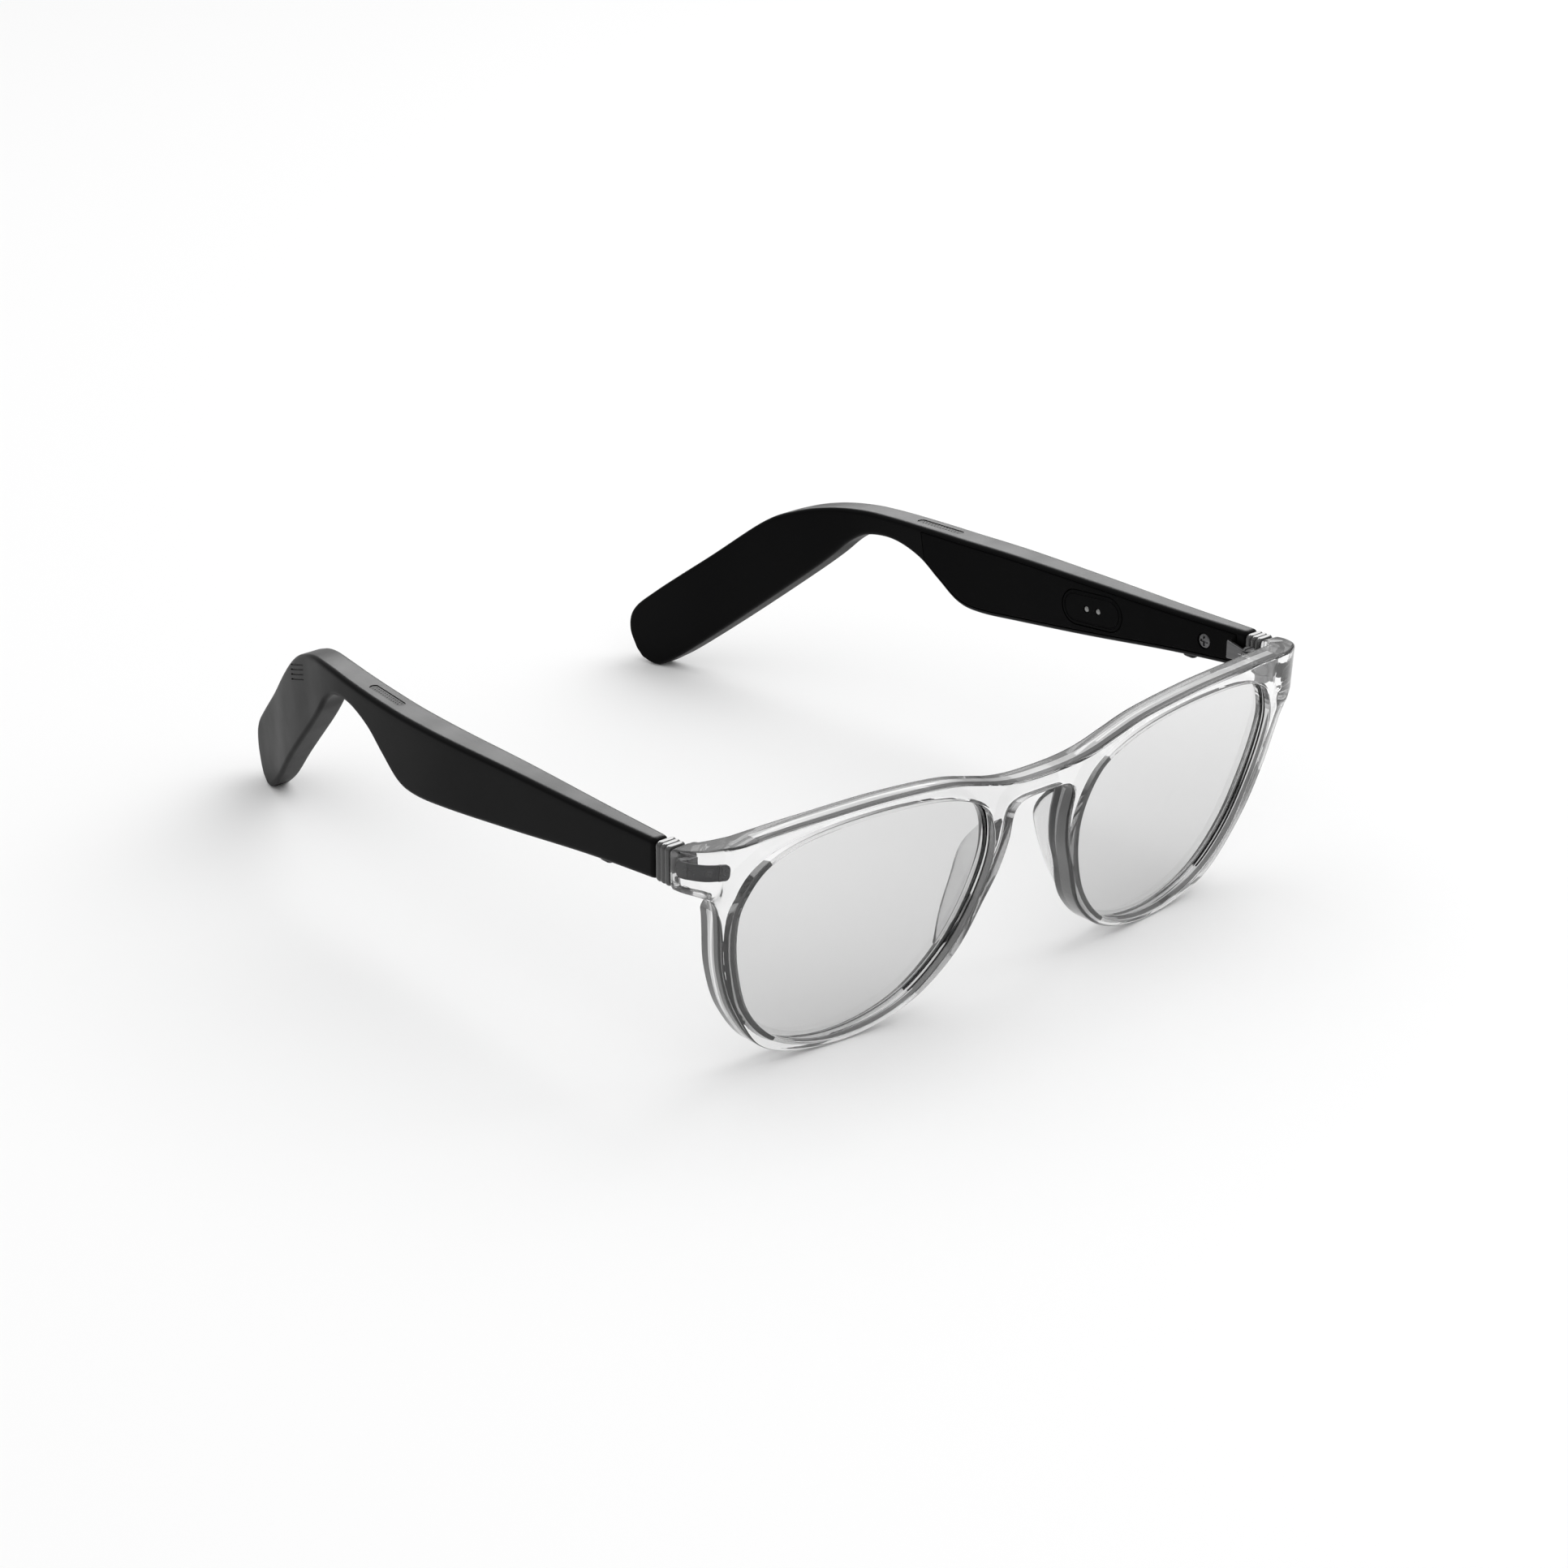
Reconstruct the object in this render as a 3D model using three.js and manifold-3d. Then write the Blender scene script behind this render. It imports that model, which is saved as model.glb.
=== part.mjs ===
// Smart glasses: a clear front with bent end pieces, and two black electronics temples on metal hinges.
// Millimetres. +X is the wearer's left, the lenses face -Y and +Z is up. Every piece is drawn once, for the
// left side, and mirrored for the right.
import * as THREE from 'three';
import { mergeVertices } from 'three/addons/utils/BufferGeometryUtils.js';
import Module from 'manifold-3d';

const wasm = await Module();
wasm.setup();

// ---- driving dimensions -------------------------------------------------------------------------------
const GAP = 0.3; // between neighbouring pieces
const FIT = 0.1; // radial clearance of a pin or button in its hole

// The front's face is bowed across its width and leans forward at the top.
const FRONT = { bow: 0.0014, lean: -0.218, depth: 5.1, round: 0.45 };

// The rim, station by station round the lens: [inner x, inner z, outer x, outer z].
const RIM = [
  [61.6, 29, 65.0, 29.5], [61.0, 34.8, 65.3, 36.5], [57.2, 40.6, 65.2, 44.6], [49.3, 43.7, 50.5, 46.9],
  [36.9, 44.7, 36.5, 47.3], [24.5, 43.7, 23.0, 46.4], [16.0, 40.8, 12.8, 43.8], [12.1, 36.6, 7.8, 39.4],
  [10.5, 29, 6.9, 30.5], [12.3, 20, 10.0, 20.2], [16.4, 11.7, 14.2, 11], [23.1, 5.0, 21.8, 3.8],
  [32.0, 1.8, 31.7, 0.4], [41.7, 1.8, 42.3, 0.3], [50.6, 5.3, 52.6, 3.6], [56.8, 12.1, 59.7, 12.2],
  [60.2, 21, 63.4, 21.3],
];
const LENS = { into_rim: 0.35, front: 1.7, thick: 1.8 };
// Half of the bridge, outwards from the middle: [x, underside z, top z].
const BRIDGE = [[0, 38.5, 42.4], [4.6, 38.4, 42.5], [7.4, 36.9, 42.8], [9.5, 38.2, 43.2], [12.8, 41.2, 43.8]];
const BRIDGE_ROUND = 0.6;

// The end piece wraps from the front round to the hinge line: plan points [x, y] of both faces at hinge
// height, and the heights [bottom z, top z] along it.
const END = {
  outer: [[62.5, -3.5], [65.0, -2.8], [68.2, -0.8], [69.9, 2.4], [70.3, 5.6]],
  inner: [[61.6, 1.7], [62.9, 2.0], [64.7, 2.7], [66.1, 4.1], [66.5, 5.6]],
  height: [[32.6, 46.0], [33.4, 45.7], [36.85, 45.3], [37.2, 44.7], [37.1, 44.2]],
  hinge_height: 41,
};

// The hinge: a plate inside the end piece, an arm to the pivot, and a leaf inside the temple.
const SIDE_X = 70.3; // outer face of the hinge line
const HINGE_PLATE = { from: 0.1, to: 0.93, thick: 1.0, height: 2.9, centre: 40.9 };
const HINGE_ARM = { x: 68.1, y: [4.2, 5.3], half_height: 1.45 };
const AXIS = { x: 64.4, y: 6.3, low: 38.2, high: 42.4, barrel_r: 1.3, middle: [39.75, 41.25] };
const PIVOT = { screw_r: 0.6, hole_r: 0.66, foot: 38.4, top: 42.7, head_r: 1.15, head: [42.55, 43.0] };
const LEAF = { x: [65.6, 66.45], y: [8.2, 13.0], z: [37.9, 41.9], round: 2.1 };
const COLLAR = { y: [5.9, 9.2], z: [37.25, 44.3], thick: 3.9, ribs: 2, swell: 0.3, round: 0.7 };

// The temple seen from the side, station by station: [top y, top z, bottom y, bottom z].
const TEMPLE = [
  [9.5, 44.4, 9.5, 37.3], [27, 44.0, 27, 35.5], [48, 43.8, 48, 32.6], [66, 43.5, 66, 30.3],
  [75.5, 43.3, 76, 29.3], [81, 43.2, 81.5, 30.0], [87, 43.2, 86.5, 33.2], [93, 43.2, 91.5, 36.6],
  [99.5, 43.2, 98, 38.6], [106.5, 43, 104.5, 38.2], [114, 42, 109, 35.8], [121, 39.9, 113.5, 31.5],
  [128.5, 36, 119, 26.6], [141, 25.7, 132, 15.6], [152.5, 16.4, 144, 5.6], [157.6, 11.6, 149, 1.9],
  [158.7, 7.5, 152.3, 0.1], [157.2, 3.4, 155.2, 0.9],
];
// Plan of the temple: [y, outer x, thickness].
const TEMPLE_PLAN = [
  [9, 70.3, 3.3], [27, 70.3, 4.3], [48, 70.2, 5.2], [70, 70.0, 5.8], [90, 68.4, 5.9], [106, 65.8, 5.6],
  [120, 61.8, 5.8], [134, 57.4, 5.8], [146, 52.6, 5.4], [160, 47.6, 4.6],
];
const COVER = { from: 0.12, to: 6.7, inset: 0.9, thick: 1.0 };
const CAVITY = { from: 0.66, to: 6.4, inset: 1.7, wall: 1.2 };
const PORT = { y: 46.6, z: 38.2, length: 15, height: 6.7, lean: -0.09, pins: [-1.45, 1.45], pin_r: 0.6 };
const COVER_SCREW = { y: 19.2, z: 40, head_r: 1.4, head: 0.8, shaft_r: 0.6, depth: 2.4 };
const BUTTON = { y: 24.0, length: 3.0, width: 1.8, foot: 35.1, top: 37.5, hole: [30, 38.6] };
const SLOT = { y: [83.2, 94.2], width: 1.7, top: 43.2, depth: 0.8, hole_depth: 3 };
const VENTS = { y: 124.8, z: 35.1, length: 7.5, width: 0.45, pitch: 0.95, count: 4,
  depth: 0.5, slope: -0.37 };
const NOSE_PAD = [ // [z, root x, tip x, reach behind the rim]
  [34.5, 8.6, 7.6, 0.6], [31, 8.3, 8.0, 3.6], [27.5, 8.5, 9.2, 4.7], [22.5, 9.7, 10.9, 3.9],
  [17, 11.9, 13.2, 2.6], [12.5, 14.2, 15.2, 0.7],
];
const PAD = { thick: 2.0, round: 0.8 };

// Electronics in the temple's cavity, as spans along Y and Z and depths from its outer wall.
const BOARD = { y: [28.5, 54.5], z: [37.4, 41.6], thick: 0.7 };
const CHIPS = { y: [[29, 33], [34.5, 38.5], [51, 53.6]], z: [38.2, 40.9], depth: [0.5, 1.4] };
const CELL = { x: 67.05, y: [56.5, 75], z: 37.8, half_thick: 1.2, half_height: 3.8 };
const SPEAKER = { y: 81.6, z: 37.4, radius: 3.1, can_x: [65.0, 66.6], box_x: [65.3, 66.9],
  box_y: [78.6, 84.6], box_z: [34.6, 40.3] };
const MICROPHONE = { y: [25.9, 27.9], z: [39.0, 41.4], thick: 1.2 };
const SWITCH = { half: 0.6, y: [23.0, 25.2], z: [38.85, 40.2] };
const PLUNGER = { half: 0.4, y: [23.6, 24.6], z: [38.0, 39.0] };

// ---- materials ----------------------------------------------------------------------------------------
const look = (color, roughness, metalness, extra = {}) =>
  new THREE.MeshStandardMaterial({ color, roughness, metalness, ...extra });
const clear = () => look(0xe4e6e8, 0.08, 0, { transparent: true, opacity: 0.4 });
const lensGlass = () => look(0xd6d8da, 0.03, 0, { transparent: true, opacity: 0.3 });
const black = () => look(0x1b1b1c, 0.5, 0);
const innerBlack = () => look(0x141415, 0.55, 0);
const steel = () => look(0x8d8f92, 0.3, 1);
const darkSteel = () => look(0x4a4b4d, 0.35, 1);
const goldPlate = () => look(0xb9b4a6, 0.3, 1);
const boardGreen = () => look(0x1f4a33, 0.6, 0);
const cellFoil = () => look(0xa9adb1, 0.4, 0.8);

// ---- solids and booleans ------------------------------------------------------------------------------
function signedVolume(position, index) {
  const [a, b, c] = [new THREE.Vector3(), new THREE.Vector3(), new THREE.Vector3()];
  let volume = 0;
  for (let i = 0; i < index.length; i += 3) {
    a.fromBufferAttribute(position, index[i]);
    b.fromBufferAttribute(position, index[i + 1]);
    c.fromBufferAttribute(position, index[i + 2]);
    volume += a.dot(b.cross(c)) / 6;
  }
  return volume;
}

// One closed body: shared vertices merged, empty triangles dropped, faces pointing out.
function closed(geometry) {
  const shape = geometry.clone();
  for (const name of ['normal', 'uv']) shape.deleteAttribute(name);
  const merged = mergeVertices(shape, 1e-4);
  const source = merged.index.array;
  const index = [];
  for (let i = 0; i < source.length; i += 3) {
    const [a, b, c] = [source[i], source[i + 1], source[i + 2]];
    if (a !== b && b !== c && c !== a) index.push(a, b, c);
  }
  if (signedVolume(merged.attributes.position, index) < 0) index.reverse();
  merged.setIndex(index);
  return merged;
}

function toSolid(geometry) {
  const body = closed(geometry);
  return new wasm.Manifold(new wasm.Mesh({
    numProp: 3,
    vertProperties: new Float32Array(body.attributes.position.array),
    triVerts: new Uint32Array(body.index.array),
  }));
}

function toGeometry(solid) {
  const mesh = solid.getMesh();
  const geometry = new THREE.BufferGeometry();
  geometry.setAttribute('position', new THREE.BufferAttribute(new Float32Array(mesh.vertProperties), 3));
  geometry.setIndex(new THREE.BufferAttribute(new Uint32Array(mesh.triVerts), 1));
  return geometry;
}

const join = (...parts) => toGeometry(parts.map(toSolid).reduce((sum, part) => sum.add(part)));
const cut = (from, ...tools) => toGeometry(
  tools.map(toSolid).reduce((rest, tool) => rest.subtract(tool), toSolid(from)));

// ---- shape helpers ------------------------------------------------------------------------------------
const lerp = THREE.MathUtils.lerp;
const clamp = THREE.MathUtils.clamp;

function warp(geometry, place) {
  const position = geometry.attributes.position;
  for (let i = 0; i < position.count; i++) {
    const [x, y, z] = place(position.getX(i), position.getY(i), position.getZ(i));
    position.setXYZ(i, x, y, z);
  }
  return geometry;
}

// A section in unit coordinates: a square from -1 to 1 whose corners are quarter circles of radius 0.5.
function roundedSquare(steps) {
  const points = [];
  for (let corner = 0; corner < 4; corner++) {
    const [cx, cy] = [[0.5, 0.5], [-0.5, 0.5], [-0.5, -0.5], [0.5, -0.5]][corner];
    for (let i = 0; i <= steps; i++) {
      const angle = (corner + i / steps) * Math.PI / 2;
      points.push(new THREE.Vector2(cx + 0.5 * Math.cos(angle), cy + 0.5 * Math.sin(angle)));
    }
  }
  return points;
}

// Carries a unit section coordinate to a half size in millimetres with a true corner radius.
function spread(value, half, radius) {
  const core = clamp(value, -0.5, 0.5);
  return core / 0.5 * (half - radius) + (value - core) / 0.5 * radius;
}

// A bar of rounded section along s = 0..1; place turns (section a, section b, s) into a point.
function bar(steps, place, corner = 1) {
  const shape = new THREE.Shape(roundedSquare(corner));
  return warp(new THREE.ExtrudeGeometry(shape, { depth: 1, steps, bevelEnabled: false }), place);
}

// A closed ring of rounded section; place turns (section a, section b, turn 0..1) into a point.
function ring(steps, place, corner = 1) {
  const profile = roundedSquare(corner).map((p) => new THREE.Vector2(p.x + 3, p.y));
  profile.push(profile[0].clone());
  return warp(new THREE.LatheGeometry(profile, steps), (x, y, z) => {
    const turn = (Math.atan2(x, z) / (2 * Math.PI) + 1) % 1;
    return place(Math.hypot(x, z) - 3, y, turn);
  });
}

function box(x, y, z) {
  const geometry = new THREE.BoxGeometry(x[1] - x[0], y[1] - y[0], z[1] - z[0]);
  return geometry.translate((x[0] + x[1]) / 2, (y[0] + y[1]) / 2, (z[0] + z[1]) / 2);
}

function rod(radius, from, to, axis, sides = 16) {
  const geometry = new THREE.CylinderGeometry(radius, radius, to - from, sides);
  geometry.translate(0, (from + to) / 2, 0);
  if (axis === 'z') geometry.rotateX(Math.PI / 2);
  if (axis === 'x') geometry.rotateZ(-Math.PI / 2);
  return geometry;
}

// A capsule outline of the given length and height, extruded by depth along +X from x = 0.
function capsule(length, height, depth, sides = 8) {
  const shape = new THREE.Shape();
  const [run, radius] = [(length - height) / 2, height / 2];
  shape.absarc(run, 0, radius, -Math.PI / 2, Math.PI / 2, false);
  shape.absarc(-run, 0, radius, Math.PI / 2, 3 * Math.PI / 2, false);
  const geometry = new THREE.ExtrudeGeometry(shape, { depth, bevelEnabled: false, curveSegments: sides });
  return warp(geometry, (x, y, z) => [z, x, y]);
}

const spline = (points, loop = false) =>
  new THREE.CatmullRomCurve3(points.map(([a, b]) => new THREE.Vector3(a, b, 0)), loop, 'catmullrom', 0.5);
const alongRows = (rows, column, value) => { // linear look-up of a column in rows sorted by their first entry
  let i = 1;
  while (i < rows.length - 1 && rows[i][0] < value) i++;
  const t = clamp((value - rows[i - 1][0]) / (rows[i][0] - rows[i - 1][0]), 0, 1);
  const smooth = t * t * (3 - 2 * t);
  return lerp(rows[i - 1][column], rows[i][column], lerp(t, smooth, 0.3));
};

// ---- front frame --------------------------------------------------------------------------------------
const frontFace = (x, z) => FRONT.bow * x * x + FRONT.lean * z;
const rimInner = spline(RIM.map((row) => [row[0], row[1]]), true);
const rimOuter = spline(RIM.map((row) => [row[2], row[3]]), true);
const RIM_STEPS = 48;

function rimBody() {
  return ring(RIM_STEPS, (a, b, turn) => {
    const [inner, outer] = [rimInner.getPoint(turn), rimOuter.getPoint(turn)];
    const width = inner.distanceTo(outer);
    const across = 0.5 + spread(a, width / 2, FRONT.round) / width;
    const at = inner.clone().lerp(outer, across);
    const deep = FRONT.depth / 2 + spread(b, FRONT.depth / 2, FRONT.round);
    return [at.x, frontFace(at.x, at.y) + deep, at.y];
  });
}

// A point beside the lens opening: grow moves it outwards over the rim.
function beside(turn, grow) {
  const [inner, outer] = [rimInner.getPoint(turn), rimOuter.getPoint(turn)];
  return inner.clone().add(outer.sub(inner).setLength(grow));
}

// A disc that fills the lens opening, grown over the rim, between two depths behind the front face.
function openingDisc(grow, from, to) {
  const disc = new THREE.CylinderGeometry(1, 1, 1, RIM_STEPS, 1);
  const middle = [36.5, 24];
  return warp(disc, (x, y, z) => {
    const turn = (Math.atan2(x, z) / (2 * Math.PI) + 1) % 1;
    const edge = beside(turn, grow);
    const reach = Math.hypot(x, z);
    const [px, pz] = [lerp(middle[0], edge.x, reach), lerp(middle[1], edge.y, reach)];
    return [px, frontFace(px, pz) + (y > 0 ? from : to), pz];
  });
}

function bridgeBody() {
  const reach = BRIDGE.at(-1)[0];
  return bar(14, (a, b, s) => {
    const x = (2 * s - 1) * reach;
    const [under, top] = [alongRows(BRIDGE, 1, Math.abs(x)), alongRows(BRIDGE, 2, Math.abs(x))];
    const z = (top + under) / 2 + spread(b, (top - under) / 2, BRIDGE_ROUND);
    return [x, frontFace(x, z) + FRONT.depth / 2 + spread(a, FRONT.depth / 2 - 0.02, BRIDGE_ROUND), z];
  });
}

const endOuter = spline(END.outer);
const endInner = spline(END.inner);
const endHeight = spline(END.height);

// A bar inside the end piece: across 0 is its outer face and 1 its inner face, s runs to the hinge line.
function endPoint(across, z, s) {
  const t = clamp(s, 0, 1);
  const at = endOuter.getPoint(t).lerp(endInner.getPoint(t), across);
  const past = Math.max(0, s - 1) * 12;
  const lean = FRONT.lean * (z - END.hinge_height) * (1 - t) ** 2;
  return [at.x, at.y + lean + past, z];
}

function endPieceBody() {
  return bar(9, (a, b, s) => {
    const height = endHeight.getPoint(s);
    const z = (height.x + height.y) / 2 + spread(b, (height.y - height.x) / 2, 0.8);
    return endPoint(0.5 + spread(a, 0.5, 0.12), z, s);
  });
}

function hingePlateBar(grow, to) {
  return bar(8, (a, b, s) => {
    const along = lerp(HINGE_PLATE.from - grow * 0.05, to, s);
    const z = HINGE_PLATE.centre + spread(b, HINGE_PLATE.height / 2 + grow, 0.5);
    const thick = endOuter.getPoint(clamp(along, 0, 1)).distanceTo(endInner.getPoint(clamp(along, 0, 1)));
    return endPoint(0.45 + spread(a, HINGE_PLATE.thick / 2 + grow, 0.2) / thick, z, along);
  });
}

function hingeArm(grow) {
  const half = HINGE_ARM.half_height + grow;
  return box([AXIS.x, HINGE_ARM.x + grow], [HINGE_ARM.y[0] - grow, HINGE_ARM.y[1] + grow],
    [HINGE_PLATE.centre - half, HINGE_PLATE.centre + half]);
}

const barrel = (radius, low, high) => rod(radius, low, high, 'z').translate(AXIS.x, AXIS.y, 0);

function frontFrame() {
  const half = cut(
    join(rimBody(), endPieceBody()),
    hingePlateBar(GAP, 1.1),
    hingeArm(GAP),
    barrel(AXIS.barrel_r + GAP, AXIS.low - GAP, AXIS.high + GAP),
    openingDisc(LENS.into_rim + GAP, LENS.front - GAP, LENS.front + LENS.thick + GAP),
  );
  return join(half, mirror(half), bridgeBody());
}

const lens = () => openingDisc(LENS.into_rim, LENS.front, LENS.front + LENS.thick);

function nosePad() {
  return bar(10, (a, b, s) => {
    const row = s * (NOSE_PAD.length - 1);
    const i = Math.min(Math.floor(row), NOSE_PAD.length - 2);
    const [z, root, tip, reach] = NOSE_PAD[i].map((value, k) => lerp(value, NOSE_PAD[i + 1][k], row - i));
    const rear = frontFace(root, z) + FRONT.depth + GAP;
    const deep = reach * (0.5 + spread(b, 0.5, 0.24));
    const x = lerp(root, tip, deep / reach) + spread(a, PAD.thick / 2, PAD.round);
    return [x, rear + deep, z];
  });
}

// ---- hinge --------------------------------------------------------------------------------------------
function frontHinge() {
  const knuckles = join(
    hingePlateBar(0, HINGE_PLATE.to),
    hingeArm(0),
    barrel(AXIS.barrel_r, AXIS.low, AXIS.high),
  );
  const room = barrel(AXIS.barrel_r + 0.5, AXIS.middle[0] - 0.15, AXIS.middle[1] + 0.15);
  return cut(knuckles, room, barrel(PIVOT.hole_r, AXIS.low - 1, AXIS.high + 1));
}

const hingeScrew = () => join(
  barrel(PIVOT.screw_r, PIVOT.foot, PIVOT.top),
  barrel(PIVOT.head_r, ...PIVOT.head),
);

function templeHinge() {
  const [low, high] = AXIS.middle;
  const leaf = box(LEAF.x, LEAF.y, LEAF.z);
  const arm = box([AXIS.x - 0.2, LEAF.x[1]], [AXIS.y + 0.3, LEAF.y[0] + 0.8], AXIS.middle);
  const [roundY, roundZ] = [LEAF.y[1] - LEAF.round, LEAF.z[1] - LEAF.round];
  const nose = rod(LEAF.round, LEAF.x[0], LEAF.x[1], 'x', 20).translate(0, roundY, roundZ);
  const blank = cut(leaf, box([60, 70], [roundY, 20], [roundZ, 50]));
  const plate = join(blank, nose, arm, barrel(AXIS.barrel_r, low, high));
  return cut(plate, barrel(PIVOT.hole_r, low - 1, high + 1));
}

function hingeCollar() {
  const midX = SIDE_X - COLLAR.thick / 2;
  const midZ = (COLLAR.z[0] + COLLAR.z[1]) / 2;
  const [from, to] = COLLAR.y;
  const body = bar(12, (a, b, s) => {
    const wave = COLLAR.swell * (Math.abs(Math.sin(Math.PI * COLLAR.ribs * s)) - 1);
    const halfX = COLLAR.thick / 2 + wave;
    const halfZ = (COLLAR.z[1] - COLLAR.z[0]) / 2 + wave;
    return [midX + spread(a, halfX, COLLAR.round), lerp(from, to, s), midZ + spread(b, halfZ, COLLAR.round)];
  });
  const room = barrel(AXIS.barrel_r + GAP + 0.1, 36, 46);
  return cut(body, room, templeHingeRoom());
}

const templeHingeRoom = () => box([60, LEAF.x[1] + GAP], [AXIS.y - 0.2, LEAF.y[1] + GAP],
  [LEAF.z[0] - GAP, LEAF.z[1] + GAP]);

// ---- temple -------------------------------------------------------------------------------------------
const topEdge = spline(TEMPLE.map((row) => [row[0], row[1]]));
const bottomEdge = spline(TEMPLE.map((row) => [row[2], row[3]]));
const LAST = TEMPLE.length - 1;
const outerX = (y) => alongRows(TEMPLE_PLAN, 1, y);
const thickness = (y) => alongRows(TEMPLE_PLAN, 2, y);
const innerX = (y) => outerX(y) - thickness(y);

// A bar inside the temple from station to station. inset is kept from the top and bottom edges; deep gives
// the two depths, in millimetres from the outer face, at a point y along the temple.
function templeBar(from, to, steps, inset, deep, round) {
  return bar(steps, (a, b, s) => {
    const t = lerp(from, to, s) / LAST;
    const [top, bottom] = [topEdge.getPoint(t), bottomEdge.getPoint(t)];
    const height = top.distanceTo(bottom);
    const up = 0.5 + spread(b, height / 2 - inset, Math.min(round, height / 2 - inset)) / height;
    const at = bottom.clone().lerp(top, up);
    const [shallow, far] = deep(at.x);
    const inward = (shallow + far) / 2 + spread(a, (far - shallow) / 2, Math.min(round, (far - shallow) / 2));
    return [outerX(at.x) - inward, at.x, at.y];
  });
}

const coverScrewAt = (geometry) => geometry.translate(0, COVER_SCREW.y, COVER_SCREW.z);
const portFace = innerX(PORT.y);
// The port's face is turned so that it lies along the temple's tapering inner face.
const portTaper = (innerX(PORT.y - PORT.length / 2) - innerX(PORT.y + PORT.length / 2)) / PORT.length;
const portAt = (geometry) =>
  geometry.rotateX(PORT.lean).rotateZ(Math.asin(portTaper)).translate(portFace, PORT.y, PORT.z);
const screwFace = innerX(COVER_SCREW.y);
const buttonX = outerX(BUTTON.y) - thickness(BUTTON.y) / 2;

function buttonBody(grow, low, high) {
  const body = capsule(BUTTON.length + 2 * grow, BUTTON.width + 2 * grow, high - low);
  return warp(body, (x, y, z) => [buttonX + z, BUTTON.y + y, low + x]);
}

function ventGrooves() {
  return [...Array(VENTS.count).keys()].map((i) => {
    const z = VENTS.z + (i - (VENTS.count - 1) / 2) * VENTS.pitch;
    return bar(2, (a, b, s) => {
      const y = VENTS.y + (s - 0.5) * VENTS.length;
      const height = z + VENTS.slope * (y - VENTS.y) + b * VENTS.width / 2;
      return [outerX(y) + a * VENTS.depth, y, height];
    });
  });
}

function slotBar(grow, top, deep) {
  return bar(6, (a, b, s) => {
    const y = lerp(SLOT.y[0] - grow, SLOT.y[1] + grow, s);
    const end = Math.min(s, 1 - s) * (SLOT.y[1] - SLOT.y[0] + 2 * grow);
    const half = (SLOT.width / 2 + grow) * Math.sqrt(clamp(end + 0.15, 0, 1));
    return [outerX(y) - thickness(y) / 2 + a * half, y, lerp(top - deep, top, (b + 1) / 2)];
  });
}

function templeShell() {
  const body = templeBar(0, LAST, 36, 0, (y) => [0, thickness(y)], 0.8);
  const recess = templeBar(COVER.from, COVER.to, 14, COVER.inset,
    (y) => [thickness(y) - COVER.thick - GAP, thickness(y) + 1], 0.4);
  const cavity = templeBar(CAVITY.from, CAVITY.to, 12, CAVITY.inset,
    (y) => [CAVITY.wall, thickness(y) + 1], 0.4);
  const screwEnd = screwFace + COVER_SCREW.depth + GAP + FIT;
  const screwHole = coverScrewAt(rod(COVER_SCREW.shaft_r + FIT, screwFace - 1, screwEnd, 'x', 12));
  const buttonHole = buttonBody(2 * FIT, ...BUTTON.hole);
  const slot = slotBar(GAP, SLOT.top + 1, SLOT.hole_depth + 1);
  return cut(body, recess, cavity, screwHole, templeHingeRoom(), buttonHole, slot, ...ventGrooves());
}

function templeCover() {
  const plate = templeBar(COVER.from + 0.03, COVER.to - 0.06, 14, COVER.inset + GAP,
    (y) => [thickness(y) - COVER.thick, thickness(y)], 0.3);
  const [length, height] = [PORT.length + 4 * FIT, PORT.height + 4 * FIT];
  const portHole = portAt(capsule(length, height, 4).translate(-2, 0, 0));
  const screwHole = coverScrewAt(rod(COVER_SCREW.head_r + 2 * FIT, screwFace - 2, screwFace + 3, 'x', 20));
  return cut(plate, portHole, screwHole, templeHingeRoom());
}

// A rod at one of the two contacts, between depths below the port's face.
const contactRod = (radius, from, to, y) =>
  portAt(rod(radius, from, to, 'x').translate(0, y, 0));

function chargingPort() {
  const face = portAt(capsule(PORT.length, PORT.height, 1.3));
  return cut(face, ...PORT.pins.map((y) => contactRod(PORT.pin_r + FIT, -1, 3, y)));
}

const chargingPin = (y) => contactRod(PORT.pin_r, 0.02, 1.7, y);

function coverScrew() {
  const head = rod(COVER_SCREW.head_r, screwFace + 0.02, screwFace + COVER_SCREW.head, 'x', 24);
  const shaft = rod(COVER_SCREW.shaft_r, screwFace + 0.2, screwFace + COVER_SCREW.depth, 'x', 12);
  const slot = box([screwFace - 1, screwFace + 0.4], [-0.95, 0.95], [-0.2, 0.2]);
  const cross = box([screwFace - 1, screwFace + 0.4], [-0.2, 0.2], [-0.95, 0.95]);
  return coverScrewAt(cut(join(head, shaft), slot, cross));
}

// ---- electronics inside the temple --------------------------------------------------------------------
const wallX = outerX(30) - CAVITY.wall - GAP; // just inside the outer wall of the cavity

function circuitBoard() {
  const board = box([wallX - BOARD.thick, wallX], BOARD.y, BOARD.z);
  const [shallow, deep] = CHIPS.depth;
  const chips = CHIPS.y.map((span) => box([wallX - deep, wallX - shallow], span, CHIPS.z));
  return join(board, ...chips);
}

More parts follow.
